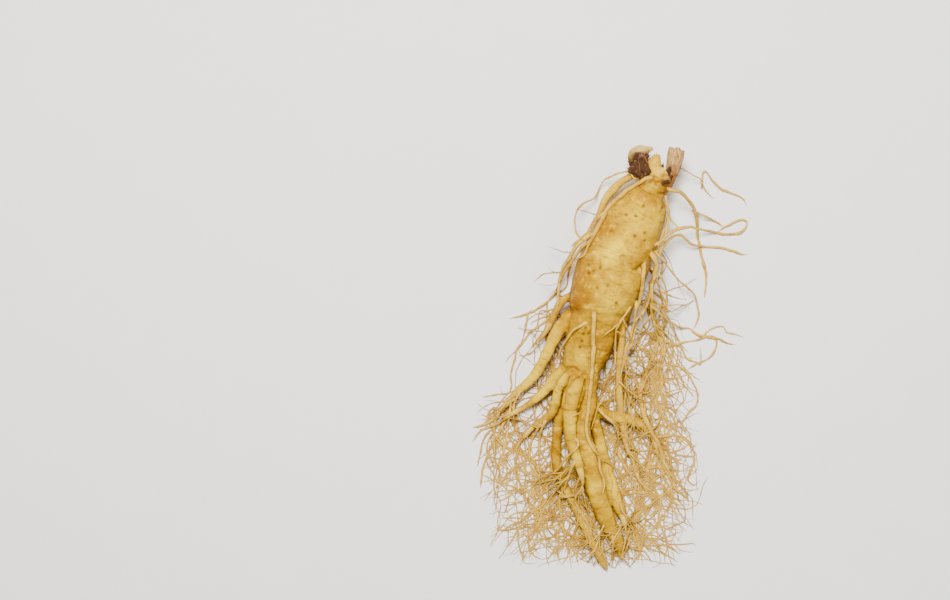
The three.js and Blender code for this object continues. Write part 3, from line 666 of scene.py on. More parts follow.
# ---------------------------------------------------------------------------------------------
# Side roots: one to three millimetres thick, pale and a little knobbly. They leave the crown, the
# flanks and the legs and hang down to the table. Each is a list of [x, y, radius], with a height
# only where it starts high on a side: the rest is found by laying it on what is already there.
STRANDS = [
    # over the left shoulder from the rhizome, with its two forks
    [[22, 94, 1.3, 20.5], [18, 94, 1.2], [14, 91.6, 1.1], [9, 88.4, 1.1], [4, 84.6, 1.1],
     [-1, 79.6, 1.15], [-5, 73, 1.1], [-9.6, 64, 1], [-16, 57.6, 0.9], [-22.6, 47, 0.8],
     [-27, 37, 0.7], [-34, 30, 0.6], [-42, 26, 0.6], [-50, 24, 0.5]],
    [[-1, 80, 1.1], [-3, 77, 1.0], [-6.5, 74, 0.8], [-8.4, 72.2, 0.6]],
    [[-9.6, 66, 1], [-15, 62.5, 1.2], [-18, 58.5, 1.2], [-21, 53.5, 1.1], [-24, 48, 0.9],
     [-25.4, 39, 0.8], [-27, 26, 0.6]],
    [[-9, 65.5, 0.8], [-11, 61.5, 0.6], [-12.5, 58.5, 0.6], [-13.5, 56, 0.55], [-16.5, 54.5, 0.5],
     [-18, 52.5, 0.5], [-20, 46, 0.4]],
    [[0, 80, 0.5], [1, 76, 0.4], [1.5, 72.5, 0.35], [5, 71, 0.25]],
    # thin arch from the rhizome to the left
    [[15, 94.5, 0.7, 13.5], [12, 94.5, 0.5], [9, 97.5, 0.5], [2.5, 96.2, 0.5], [-2.8, 93.5, 0.5],
     [-7, 85.2, 0.5], [-13.8, 81.5, 0.5], [-17, 76.5, 0.45], [-16.7, 66.2, 0.4], [-12, 62, 0.35]],
    # over the right shoulder from the rhizome
    [[26, 90, 1.3, 17], [30, 88.6, 1], [35, 87.5, 0.9], [39, 84.5, 0.85], [42, 81, 0.85],
     [44, 76, 0.8], [45, 71.5, 0.8], [45.5, 66.5, 0.7], [47, 57.5, 0.75], [49, 50, 0.7],
     [49.5, 42.5, 0.6], [49, 35, 0.55]],
    [[27, 91, 0.8, 16], [31, 95, 0.5], [35.5, 99.5, 0.4], [39, 98, 0.4], [42.5, 96, 0.4],
     [46.5, 94, 0.45], [48, 91, 0.5], [50.5, 88, 0.5], [53.5, 85, 0.5]],
    [[47.5, 92, 0.4], [48.2, 98, 0.45], [49.5, 98.5, 0.5], [51.5, 96, 0.45], [54.5, 92, 0.6],
     [57.5, 89.5, 0.55], [61.5, 88.2, 0.6], [65.5, 86.5, 0.55], [68.5, 84.5, 0.5],
     [70.4, 81.5, 0.35]],
    [[44.5, 78, 0.5], [48, 76.5, 0.45], [52, 74.2, 0.4], [56, 72, 0.4], [59, 70, 0.35]],
    # out of the right shoulder
    [[18, 59, 1.2, 17], [24, 62, 0.9], [29, 66.4, 0.8], [36, 69.5, 0.85], [40, 70.2, 0.8],
     [45, 69.5, 0.8], [50, 68.5, 0.75], [55, 67.3, 0.75], [60, 66.5, 0.75], [65, 67, 0.7],
     [69, 69, 0.65], [70.2, 72.5, 0.6], [68.5, 74, 0.55], [64, 73, 0.55], [59.5, 70.5, 0.5],
     [55.5, 68, 0.4]],
    [[20, 55, 1, 14], [26, 60, 0.8], [31, 64.5, 0.75], [36, 66.5, 0.75], [39, 64, 0.7],
     [41.5, 62, 0.7], [46.5, 61, 0.7], [52.5, 60.3, 0.65], [58.5, 59.5, 0.65], [63.5, 58, 0.65],
     [67.5, 56.8, 0.5], [70.4, 56.5, 0.4]],
    # along the right edge of the body
    [[27, 88, 0.9, 15], [28, 82.5, 0.65], [29, 77.5, 0.65], [28.5, 72.5, 0.6], [27, 68.5, 0.6],
     [25, 65, 0.5], [23.5, 60, 0.45], [24.5, 54, 0.4]],
    [[28.4, 80, 0.6], [30.5, 74, 0.5], [34, 70.5, 0.45], [35.5, 67, 0.35]],
    [[28.6, 73, 0.6], [27.5, 66.5, 0.55], [26, 60, 0.5], [25, 56, 0.5], [26.5, 50, 0.45],
     [24, 43, 0.4]],
    # down the front from the waist fold
    [[-8.4, 31, 1.4, 24], [-8.6, 25, 1.25], [-8.6, 17.5, 1.15], [-8.8, 7.5, 1.2],
     [-9.2, -2.5, 1.1], [-10, -12.5, 1], [-11, -22.5, 1], [-12, -30, 0.9], [-10, -38, 0.9],
     [-5.4, -45, 0.8], [-4.4, -52, 0.7], [-2.5, -58.5, 0.6], [-3.5, -66, 0.45]],
    [[-12.5, 22, 0.8], [-18.5, 18.5, 0.6], [-22, 13.5, 0.6], [-24.5, 8.5, 0.55], [-26, 3.5, 0.45],
     [-28.4, -3, 0.35]],
    [[8.6, 28.4, 0.7], [5.6, 24, 0.6], [2.8, 19.6, 0.55], [2.7, 12.4, 0.55], [2.4, 4, 0.5],
     [0.4, -2.5, 0.5], [-2.2, -8.6, 0.45], [-3.2, -14.4, 0.35]],
    # off the dimple on the right flank
    [[16.3, 51, 1.3], [16.2, 47.5, 1.15], [15.2, 38, 0.95], [14.5, 32.5, 0.85], [12.6, 25.3, 0.8],
     [11.9, 18.2, 0.75], [11.4, 11.9, 0.75], [8.3, 8.6, 0.65], [7.1, 3.8, 0.6], [5.4, -3.9, 0.5],
     [3.3, -9.6, 0.5], [0.2, -13.4, 0.5], [-5.6, -19.6, 0.45], [-7, -24, 0.4],
     [-9.4, -31.6, 0.35]],
    [[5, 23, 0.5], [1.6, 20.1, 0.4], [-3.2, 15.8, 0.35], [-4.6, 14.3, 0.3]],
    [[13, 31, 0.9], [11.5, 17.5, 0.7], [7.7, 7.6, 0.65], [8.5, -5.4, 0.6], [10, -19, 0.6],
     [12.3, -25.4, 0.5], [13, -34, 0.4]],
    # the bundle on the right flank
    [[17, 59, 1.9, 17], [21, 55.6, 1.6], [22.8, 50, 1.4], [22, 45, 1.3], [20.6, 40, 1.2],
     [21.4, 34, 1.1], [23, 24, 1], [25, 12, 0.9], [20.6, 0, 0.9], [16.2, -11, 1.1],
     [17.4, -22, 1.3], [21, -31.5, 1.2], [26, -41, 1.1], [29, -52, 0.8], [34, -62, 0.6],
     [41, -68, 0.5]],
    [[22, 46, 1.2], [20, 38, 0.8], [17.5, 31.5, 0.7], [16, 26.5, 0.6], [12, 22.5, 0.5]],
    [[21, 42, 1], [19.6, 34, 0.7], [18.8, 31.5, 0.65], [16.4, 26.3, 0.6], [13.1, 18.6, 0.55],
     [10.7, 10.5, 0.5], [7.8, 7.2, 0.45], [9.3, 1.9, 0.45], [9.5, -3.9, 0.4], [10.2, -8.6, 0.35]],
    [[21, 40, 1], [21, 35, 0.75], [21.5, 25, 0.7], [24, 20, 0.65], [27.5, 13.5, 0.6],
     [26.9, 4, 0.5], [22, -6, 0.45]],
    [[22, 47, 1], [23.5, 41.5, 0.6], [25.5, 37.5, 0.5], [28, 32.5, 0.45], [30, 25, 0.4]],
    [[22, 48, 0.9], [26, 44, 0.55], [28.6, 36, 0.5], [26.9, 17.5, 0.55], [28.4, 9.9, 0.55],
     [27.6, -1.6, 0.5], [26.9, -13, 0.5], [29.1, -24.5, 0.5], [30.7, -32.2, 0.5],
     [28.4, -46, 0.45], [32, -58, 0.4]],
    [[20, 24, 0.6], [14.6, 12.9, 0.45], [19.2, 6, 0.45], [25.3, -0.1, 0.45], [27.6, -7.8, 0.4],
     [25, -18, 0.35]],
    [[25, 1, 0.7], [20, -5, 0.6], [16, -13, 0.7], [14.6, -15.4, 0.8]],
    [[12.5, -2.5, 0.5], [14, -8, 0.5], [16.2, -13, 0.5]],
    # the loose ends beyond the right side
    [[19, 60, 1, 15], [22.6, 57, 0.7], [26, 53.5, 0.5], [31, 47.5, 0.5], [35.5, 43, 0.5],
     [40, 39.5, 0.5], [43, 36.5, 0.5], [44.5, 32.5, 0.5], [46, 26.5, 0.55], [45, 22.5, 0.5],
     [43.5, 18.5, 0.4]],
    [[24, 32, 0.5], [31, 27.5, 0.4], [38, 31, 0.35], [41.5, 32.5, 0.35], [44.5, 34, 0.3]],
    [[22, 30, 0.9], [31, 22.5, 0.6], [37, 19.5, 0.55], [41, 19, 0.55], [46, 15.5, 0.6],
     [51, 14.5, 0.6], [56, 14, 0.5], [60.5, 12, 0.45], [65, 11, 0.35]],
    [[48.5, 15.3, 0.5], [51.5, 18.5, 0.4], [58, 20, 0.4], [60, 17, 0.4], [64, 16, 0.4],
     [69, 14.5, 0.35]],
    [[25, 15, 0.8], [32, 11, 0.55], [38, 12, 0.5], [45, 13, 0.5], [51, 15, 0.5], [54, 14.5, 0.5],
     [54.5, 10, 0.5], [52, 5, 0.5], [48, 2, 0.5], [43.5, 0.5, 0.45], [40, -1.5, 0.35]],
    [[26, 13, 0.7], [33, 11.5, 0.5], [37, 9, 0.5], [40, 4, 0.5], [45, 2, 0.5], [46.5, 1, 0.45],
     [47, 5.5, 0.4], [47, 9.5, 0.35]],
    [[27, 0, 0.6], [33, 1, 0.5], [40, -3, 0.5], [42.5, -7.5, 0.5], [45, -13.5, 0.5],
     [45.5, -17.5, 0.5], [44.5, -20.5, 0.45], [41.5, -22.5, 0.45], [39, -26, 0.4],
     [36, -32, 0.35]],
    [[26, -36, 0.6], [34, -35, 0.5], [40, -38, 0.5], [43, -42, 0.5], [44, -47.5, 0.5],
     [42, -52.5, 0.5], [40.5, -57.5, 0.5], [43.5, -60.5, 0.45], [47, -58, 0.35]],
    # forks of the side roots on the left
    [[-47, -13.6, 1.2], [-50, -16, 1], [-55, -23, 0.9], [-57.8, -30, 0.8], [-58, -36, 0.7],
     [-60.5, -43.5, 0.6], [-63.5, -51.5, 0.5], [-65, -62, 0.4]],
    [[-48, -14.4, 1], [-49.5, -17, 0.7], [-49.6, -20, 0.7], [-50, -25, 0.65], [-51, -31.5, 0.6],
     [-52, -40, 0.5], [-55, -50, 0.45], [-54, -60, 0.4]],
    [[-44, -11.5, 0.9], [-46, -15, 0.7], [-48, -21, 0.6], [-47.4, -30, 0.5], [-44, -40, 0.4]],
    [[-46, -22.5, 1], [-49.5, -24.5, 0.8], [-57, -29.5, 0.7], [-65, -33, 0.5], [-69, -38, 0.4]],
    [[-34, -29, 1], [-36, -31.5, 0.7], [-39.8, -42, 0.6], [-39, -51.5, 0.6], [-36, -56, 0.55],
     [-31.5, -57.5, 0.4]],
    [[-32, -27.5, 1], [-34.5, -35, 0.6], [-35, -43.7, 0.6], [-34.4, -51.4, 0.5],
     [-30.5, -56, 0.4]],
    # fine forks at the hooked end of the folded leg
    [[-17.6, -36, 1.1], [-16, -38.5, 0.8], [-22.5, -46.5, 0.75], [-28.5, -55, 0.7],
     [-33.5, -62.5, 0.65], [-35, -70, 0.6], [-40, -74, 0.5], [-43, -82, 0.4]],
    [[-16, -45, 0.9], [-19, -48.5, 0.6], [-25, -55, 0.6], [-31, -60, 0.55], [-34.5, -70, 0.5],
     [-33, -80, 0.4]],
    [[-15.6, -46, 0.9], [-18.5, -50, 0.6], [-22, -60, 0.6], [-25, -67.5, 0.55], [-24, -78, 0.45],
     [-27, -88, 0.35]],
    [[-20, -25, 0.8], [-18, -24, 0.6], [-14, -22.5, 0.35]],
    [[-14, -51, 0.8], [-14.5, -54, 0.55], [-16.8, -60, 0.5], [-17, -65.2, 0.5], [-16, -70.5, 0.5],
     [-13.5, -74.7, 0.5], [-10.7, -79, 0.45], [-9, -85, 0.4], [-10, -94, 0.35]],
    # between and below the legs on the right
    [[-5, -22, 0.9], [4.6, -32.2, 0.7], [5.4, -43.7, 0.7], [8.5, -51.4, 0.65], [12.3, -56.7, 0.5],
     [14, -66, 0.4]],
    [[26, -52, 0.8], [30, -62, 0.55], [19.2, -72, 0.55], [15.4, -76.6, 0.5], [11.5, -84.3, 0.5],
     [8.5, -93.5, 0.35]],
    [[27, -47, 0.8], [33, -60, 0.5], [24, -68, 0.5], [16, -74, 0.5], [10, -86, 0.45],
     [13, -97, 0.35]],
    [[5.4, -66, 0.9], [8, -75, 0.55], [13, -83, 0.55], [16, -92, 0.5], [15, -100, 0.4]],
    [[-8, -86, 0.8], [-13, -90, 0.5], [-16, -96, 0.45], [-15, -101, 0.35]],
    [[-2, -79, 0.9], [-3.4, -82, 0.6], [-6.5, -90.8, 0.55], [-10.4, -99.8, 0.45]],
    [[1.8, -85, 0.9], [1.9, -90, 0.5], [2.1, -102.5, 0.35]],
    [[6.6, -95, 0.9], [8.6, -98.6, 0.5], [12, -102.5, 0.35]],
]
LOOSE_ENDS = [6, 7, 8, 9, 10, 11, 30, 31, 32, 33, 34, 35, 36, 37]
HEAP_CELL = 0.5
STEEPEST = 0.7  # a laid root rises and falls no faster than this
SOFTENING = 4  # the length over which its height is evened out
SETTLING = 7  # the length over which it comes down from where it starts
OVERHANG = 4.5
HEAP_REACH = np.array([80, 120])
heap = np.zeros(tuple((2 * HEAP_REACH / HEAP_CELL).astype(int)))


def heap_cells(points):
    """The cells of the heap's height table under each point."""
    cells = ((points[:, :2] + HEAP_REACH) / HEAP_CELL).astype(int)
    return tuple(np.clip(cells, 0, np.array(heap.shape) - 1).T)


np.maximum.at(heap, heap_cells(points), points[:, 2])
padded = np.pad(heap, 1)
heap = np.maximum.reduce([padded[i:i + heap.shape[0], j:j + heap.shape[1]]
                          for i in range(3) for j in range(3)])
taproot_heap = heap.copy()


def lay(path, radius, start_height=None, own=None):
    """Lays a thin root on the heap along a path seen from above, and adds it to the heap. Where
    the heap stands far above the root's own height, the root goes beneath it instead."""
    step = np.linalg.norm(np.diff(path, axis=0), axis=1)
    length = np.concatenate([[0], np.cumsum(step)])
    under = heap[heap_cells(path)] + 0.6 * radius
    if own is not None:
        under = np.where(under > own + OVERHANG, own, under)
    rise = STEEPEST * length
    fore = np.maximum.accumulate(under + rise) - rise
    back = np.maximum.accumulate((under - rise)[::-1])[::-1] + rise
    height = np.maximum(fore, back)
    window = max(1, int(SOFTENING / max(step.mean(), 0.1)) // 2) * 2 + 1
    kernel = np.hanning(window + 2)[1:-1]
    height = np.convolve(np.pad(height, window // 2, mode="edge"), kernel / kernel.sum(), "valid")
    if start_height is not None:
        share = np.clip(length / SETTLING, 0, 1)
        height = start_height + (height - start_height) * share * share * (3 - 2 * share)
    height = np.maximum(height, radius)
    line = np.column_stack([path, height, radius])
    for dx, dy in ((0, 0), (1, 0), (-1, 0), (0, 1), (0, -1)):
        edge = line[:, :2] + np.array([dx, dy]) * radius[:, None] * 0.7
        np.maximum.at(heap, heap_cells(edge), height + radius * (0.9 if dx == dy else 0.6))
    return line


def knobbly(line, dice, sway=0.32, knots=0.22):
    """Makes a smooth root waver to the side and swell and thin along its length."""
    length = np.arange(len(line))[:, None] * np.linalg.norm(line[1, :2] - line[0, :2])
    seed = dice.integers(1 << 30)
    line = line.copy()
    fade = np.clip(length[:, 0] / 5, 0, 1)
    grid = on_axis(length)
    for size, share in ((7, 1), (2.6, 0.6)):
        line[:, 0] += fade * sway * share * lumps(grid + [0, 3.3, 0], size, seed)
        line[:, 1] += fade * sway * share * lumps(grid + [0, 0, 7.7], size, seed + 1)
    knots = knots * np.clip(1.5 - line[:, -1], 0.35, 1)
    line[:, -1] *= 1 + knots * (lumps(grid, 1.6, seed + 2) + lumps(grid, 5, seed + 3))
    return line


def thin_root_parts(line, sides, dice, palest=0, darkest=1):
    """A thin root's tube, with its tone, age and ring values at each point. The tone is drawn at
    random between palest and darkest; the callers give the lower layers darker tones as painted
    shade.
    """
    points, quads = wrap(line, sides)
    length = lengths(line)
    angle = np.tile(np.linspace(0, 2 * np.pi, sides, endpoint=False), len(line))
    girth = np.repeat(line[:, 3], sides) * 0.3
    ring = np.column_stack([np.cos(angle) * girth, np.sin(angle) * girth,
                            np.repeat(length, sides)])
    tone_and_depth_shade = np.full(len(points), dice.uniform(palest, darkest))
    age = np.repeat(length / length[-1], sides)
    return points, quads, tone_and_depth_shade, age, ring + tone_and_depth_shade[:, None] * 91


def thin_root_mesh(name, roots):
    """One mesh of many thin roots."""
    points, quads = gather([root[:2] for root in roots])
    mesh = quad_mesh(name, points, quads)
    for key, mask in ((2, "tone_and_depth_shade"), (3, "age"), (4, "ring")):
        add_mask(mesh, mask, np.concatenate([root[key] for root in roots]))
    return mesh


dice = np.random.default_rng(5)
side_paths = [knobbly(line, dice, sway=0.2) for line in tails]
start_heights = [line[0, 2] for line in tails]
for stations in STRANDS:
    rows = [[x, y, 0, radius] for x, y, radius, *_ in stations]
    back = np.subtract(rows[0][:2], rows[1][:2])
    if len(stations[0]) == 3:
        rows[0][:2] += back * 2.2 / np.linalg.norm(back)
    side_paths.append(knobbly(follow(rows, 0.7), dice))
    start_heights.append(stations[0][3] if len(stations[0]) > 3 else None)

# ---------------------------------------------------------------------------------------------
# Fine roots: the beard of wiry rootlets, half a millimetre thick, that tangles round the legs.
# Most start on the legs and side roots, run outwards and down the table below the legs, with
# kinks and curls, each one lying on those before it. The finest hair roots branch off them.
RIGHT_REACH = [[-110, 34], [-60, 43], [-10, 41], [25, 38], [60, 33], [100, 30]]
LEFT_REACH = [[-110, -54], [-60, -64], [-25, -62], [0, -48], [40, -36], [60, -26], [100, -12]]
LOW_EDGE = -107
BARE_ABOVE = 50  # few rootlets grow higher up than this
MOST = 0.85  # the share left out there, and the share turned to run down
LOOSE_END_WEIGHT = 0.03


def wander(start, heading, length, step, dice):
    """A kinked and curling path [x, y] of a fine root, which ends where the beard ends."""
    way = np.arange(int(length / step)) * step
    turn = np.zeros(len(way))
    for _ in range(2):
        wave, phase = dice.uniform(14, 70), dice.uniform(0, 2 * np.pi)
        turn += dice.uniform(0.05, 0.42) * (np.sin(way * 2 * np.pi / wave + phase) - np.sin(phase))
    kinks = dice.uniform(0, 1, len(way)) < step / 7
    turn += np.cumsum(kinks * dice.normal(0, 0.36, len(way)))
    home = (-np.pi / 2 - heading) * np.clip(way / 80, 0, 0.7)
    path = np.column_stack([np.cos(heading + turn + home), np.sin(heading + turn + home)]) * step
    path = start + np.cumsum(path, axis=0) - path[0]
    slack = dice.normal(0, 4)
    low, right = np.array(RIGHT_REACH).T
    left = np.interp(path[:, 1], *np.array(LEFT_REACH).T)
    out = ((path[:, 0] > np.interp(path[:, 1], low, right) + slack)
           | (path[:, 0] < left - slack) | (path[:, 1] < LOW_EDGE + 1.5 * abs(slack)))
    return path[:out.argmax()] if out.any() else path


def sprout(parents, weights, count, dice, radius, length, spread, step, clear=99.0):
    """Grows fine roots out of the parent lines, and lays each on the heap."""
    grown = []
    chances = np.array([len(line) * weight for line, weight in zip(parents, weights)], float)
    chances /= chances.sum()
    while len(grown) < count:
        line = parents[dice.choice(len(parents), p=chances)]
        at = dice.integers(int(len(line) * 0.12), len(line) - 2)
        if line[at, 1] > BARE_ABOVE and dice.uniform() < MOST:
            continue
        run = line[at + 1, :2] - line[at, :2]
        heading = math.atan2(run[1], run[0]) + dice.choice([-1, 1]) * dice.uniform(*spread)
        heading = (heading + np.pi / 2) % (2 * np.pi) - np.pi / 2
        if 0.2 < heading < np.pi - 0.2 and dice.uniform() < MOST:
            heading = -heading if heading < np.pi / 2 else 2 * np.pi - heading
        if heading > np.pi / 2:
            heading -= 2 * np.pi
        path = wander(line[at, :2], heading, dice.uniform(*length), step, dice)
        if len(path) < 9 or taproot_heap[heap_cells(path[4:])].max() > clear:
            continue
        size = radius[0] + (radius[1] - radius[0]) * dice.uniform() ** 2
        size = size * np.linspace(1, 0.55, len(path))
        size *= 1 + 0.18 * dice.normal(0, 1, len(path)).clip(-1.5, 1.5)
        size[-3:] *= [0.9, 0.7, 0.4]
        start = line[at, 2] if line.shape[1] == 4 and clear < 50 else None
        grown.append(lay(path, size, start_height=start))
    return grown


dice = np.random.default_rng(21)
weights = [2.0] * len(tails) + [1.0] * len(STRANDS)
for number in LOOSE_ENDS:
    weights[len(tails) + number] = LOOSE_END_WEIGHT
parents = side_paths + lines[3:]
weights += [1.8] * len(lines[3:])
heap[:] = 0
lower = sprout(parents, weights, 240, dice, radius=(0.32, 0.7), length=(50, 140),
               spread=(0.2, 1.1), step=1.8)
lower_hairs = sprout(lower, [1] * len(lower), 110, dice, radius=(0.18, 0.3), length=(14, 60),
                     spread=(0.4, 1.3), step=1.5)
heap[:] = np.maximum(heap, taproot_heap)
side_lines = []
for number, (line, start) in enumerate(zip(side_paths, start_heights)):
    line[:, 3] *= np.clip((len(line) - np.arange(len(line))) / 6, 0.3, 1)
    if start is None:
        start = max(heap[heap_cells(line[:1])][0] - 2.4 * line[0, 3], line[0, 3])
    own = line[:, 2] if number < len(tails) else None
    side_lines.append(lay(line[:, :2], line[:, 3], start_height=start, own=own))
upper = sprout(side_lines, weights, 135, dice, radius=(0.28, 0.56), length=(30, 100),
               spread=(0.2, 1), step=1.8, clear=9)
hair_weights = weights[:len(side_lines)] + [1] * len(upper)
upper_hairs = sprout(side_lines + upper, hair_weights, 80, dice, radius=(0.13, 0.2),
                     length=(8, 34), spread=(0.4, 1.5), step=1.4, clear=7)

thin_root_skin, tree, output = new_material("thin_root_skin")
ring_place = read_mask(tree, "ring", "Vector")
soil = noise(tree, put(tree, "TexCoord").outputs["Object"], 180, 4, 0.6)
# Each root's tone: a colour of its own at random, darker for the lower layers as painted shade.
colour = blend_colour(tree, read_mask(tree, "tone_and_depth_shade"), paint(230, 190, 70), paint(166, 114, 34))
colour = blend_colour(tree, read_mask(tree, "age"), colour, paint(206, 162, 58))
colour = blend_colour(tree, remap(tree, soil, 0.48, 0.72, 0, 0.7), colour, paint(146, 96, 26))
wrinkles = put(tree, "Group", {"Ring": ring_place, "Fineness": 1.3},
               node_tree=ring_wrinkles).outputs
share = combine(tree, "MULTIPLY", wrinkles["Lines"], 0.55)
colour = blend_colour(tree, share, colour, paint(120, 70, 20))
# Painted shade: the thin roots darken towards the edges that turn away from view.
painted_edge_shade = put(tree, "LayerWeight", {"Blend": 0.5}).outputs["Facing"]
painted_edge_shade = remap(tree, painted_edge_shade, 0.25, 0.9, 0, 0.85)
colour = blend_colour(tree, painted_edge_shade, colour, paint(104, 60, 12))
bump = put(tree, "Bump", {"Height": wrinkles["Height"], "Strength": 0.6, "Distance": 0.0003})
skin = put(tree, "BsdfPrincipled", {"Base Color": colour, "Normal": bump.outputs["Normal"],
                                    "Roughness": remap(tree, soil, 0.3, 0.7, 0.45, 0.65)})
skin.inputs["Specular IOR Level"].default_value = 0.14
tree.links.new(skin.outputs["BSDF"], output.inputs["Surface"])

side_roots = [thin_root_parts(line, 10, dice, 0, 0.45) for line in side_lines]
add_piece("side_roots", thin_root_mesh("side_roots", side_roots), thin_root_skin)

# The rootlets of the lower layer take the darker tones, painted shade beneath the upper ones.
for number in range(3):
    grown = [thin_root_parts(line, 6, dice, 0.4, 1) for line in lower[number::3]]
    grown += [thin_root_parts(line, 6, dice, 0, 0.6) for line in upper[number::3]]
    grown += [thin_root_parts(line, 4, dice) for line in (lower_hairs + upper_hairs)[number::3]]
    name = f"beard_{number + 1}"
    add_piece(name, thin_root_mesh(name, grown), thin_root_skin)

# ---------------------------------------------------------------------------------------------
# Buds: next year's pale fleshy bud and the knob below it on the crown, and the greenish side bud
# that curls off the old spur. They grow out of the rhizome and are skinned over in one piece.
BUD_GRAIN = 0.3
WINTER_BUD = [
    [[22.2, 97, 19, 2.8], [21.8, 99.6, 20, 3.3], [22, 102, 20.5, 3.3], [22.8, 104, 20.8, 2.6],
     [23.6, 105.4, 20.9, 1.7], [23.9, 106, 21, 0.9]],
    [[20.4, 97.2, 19.4, 1.8], [21.8, 97, 20.6, 2.6], [24.4, 96.2, 21.2, 2.8],
     [27.2, 94.4, 20.6, 2.4], [29.2, 93, 19.8, 1.1]],
    [[23.6, 98.6, 22.6, 0.9], [25.6, 98.2, 22.8, 1.2], [27, 96.6, 22.6, 1.1],
     [28.4, 94.8, 21.4, 0.9], [29.8, 92.4, 19.8, 0.5]],
]
SIDE_BUD = [
    [[11.4, 103.2, 11.4, 1.4], [10.8, 105, 11.9, 1.7], [11.6, 106.8, 12.6, 2.4],
     [14, 108, 13.2, 3], [16.8, 108.5, 13.8, 2.6], [19.4, 109, 14, 1.5],
     [21.6, 109.2, 14.2, 0.45]],
]


def grow_bud(name, limbs, seed):
    """A bud's skin: its limbs joined, eased and made slightly lumpy and ringed."""
    bud_lines = [follow(stations, 0.3) for stations in limbs]
    points, quads = grow_together([wrap(line, 32) for line in bud_lines], BUD_GRAIN)
    points = even_out(points, quads, [0.5] * 5)
    limb, spot, second, _ = where_on(points, bud_lines)
    points = even_out(points, quads, [0.5] * 8, np.exp(-(np.maximum(second, 0) / 0.8) ** 2))
    rough = 0.3 * lumps(points, 4, seed) + 0.12 * lumps(points, 1.3, seed + 1)
    rings = 0.14 * lumps(stacked(spot, limb, 0.2, 9.1), 1.1, seed + 2)
    points = points + outward(points, quads) * (rough + rings)[:, None]
    mesh = quad_mesh(name, points, quads)
    add_mask(mesh, "ring", stacked(spot, limb))
    low, high = points[:, 1].min(), points[:, 1].max()
    add_mask(mesh, "tip", (points[:, 1] - low) / (high - low))
    return mesh


def bud_finish(name, foot, flesh, crest):
    """Fleshy bud skin, tinted from foot to crest, with fine rings and a soft gloss."""
    material, tree, output = new_material(name)
    cloud = noise(tree, put(tree, "TexCoord").outputs["Object"], 420, 4, 0.6)
    rise = combine(tree, "ADD", read_mask(tree, "tip"), cloud)
    shades = tones(tree, remap(tree, rise, 0.55, 1.3), (0, foot), (1, crest), (0.4, flesh))
    wrinkles = put(tree, "Group", {"Ring": read_mask(tree, "ring", "Vector"), "Fineness": 1.6},
                   node_tree=ring_wrinkles).outputs
    share = combine(tree, "MULTIPLY", wrinkles["Lines"], 0.4)
    colour = blend_colour(tree, share, shades, foot)
    bump = put(tree, "Bump", {"Height": wrinkles["Height"], "Strength": 0.5, "Distance": 0.0003})
    skin = put(tree, "BsdfPrincipled", {"Base Color": colour, "Normal": bump.outputs["Normal"],
                                        "Roughness": remap(tree, cloud, 0.3, 0.7, 0.34, 0.55)})
    skin.inputs["Specular IOR Level"].default_value = 0.28
    tree.links.new(skin.outputs["BSDF"], output.inputs["Surface"])
    return material


winter_skin = bud_finish("winter_bud_skin", paint(146, 84, 4), paint(226, 182, 40),
                         paint(196, 150, 18))
side_skin = bud_finish("side_bud_skin", paint(92, 60, 18), paint(148, 122, 46),
                       paint(196, 164, 88))
winter_bud = add_piece("winter_bud_skinned", grow_bud("winter_bud_skinned", WINTER_BUD, 31),
                       winter_skin)
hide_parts("winter_bud")
side_bud = add_piece("side_bud_skinned", grow_bud("side_bud_skinned", SIDE_BUD, 41), side_skin)
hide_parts("side_bud")

# ---------------------------------------------------------------------------------------------
# Bud scales: dry brown papery leaves that wrapped the buds, cupped, veined and torn at the tip,
# with smaller scraps left between them. Each is a thin plate held at its foot by the crown.
SCALES = [
    (7, 8, 1.4, 1.2, [14.6, 104.4, 18.6], [12, 0, 62]),
    (6, 7, 1.2, 0.8, [11.6, 98, 17.4], [10, -20, 80]),
    (6, 9, 1.4, 1, [16, 101.4, 22.8], [16, -10, 16]),
    (4, 5.4, 0.8, 0.8, [29, 97.6, 22.3], [14, 18, -24]),
]
SCRAPS = [
    (4, 6.5, 1, 1.4, [18, 104, 19.4], [24, 20, -12]),
    (3, 6, 0.8, 1, [13.4, 100.6, 20.2], [8, -24, 40]),
    (4.4, 5, 1, 1.2, [18.4, 98.6, 23], [10, 8, 28]),
    (2.6, 6, 0.6, 1.2, [10.4, 101.4, 15.6], [6, -40, 58]),
    (3.4, 5, 0.8, 0.8, [19.4, 101.4, 21.4], [18, 10, 6]),
    (2.4, 4, 0.5, 0.7, [30.4, 94.4, 20.4], [6, 30, -50]),
    (2, 4.6, 0.4, 1, [27.4, 92.2, 23.2], [4, 10, -70]),
    (3, 4, 0.6, 0.7, [14.4, 96.8, 20.6], [6, -10, 66]),
    (2.6, 9, 1, 1.6, [15.4, 104.8, 15.8], [4, 26, -72]),
    (2.2, 8, 0.8, 1, [12.4, 103, 16.4], [14, -30, -50]),
    (1.6, 6, 0.5, 0.8, [18.6, 105, 20.4], [20, 34, -24]),
    (1.4, 5, 0.5, 0.6, [17, 104.6, 21], [26, 20, -30]),
    (3.4, 6, 0.9, 0.8, [26.4, 98.6, 18.4], [16, 40, -14]),
    (2.4, 4, 0.5, 0.6, [17.4, 95, 21.2], [6, 4, 84]),
]
SCALE_THICKNESS = 0.32


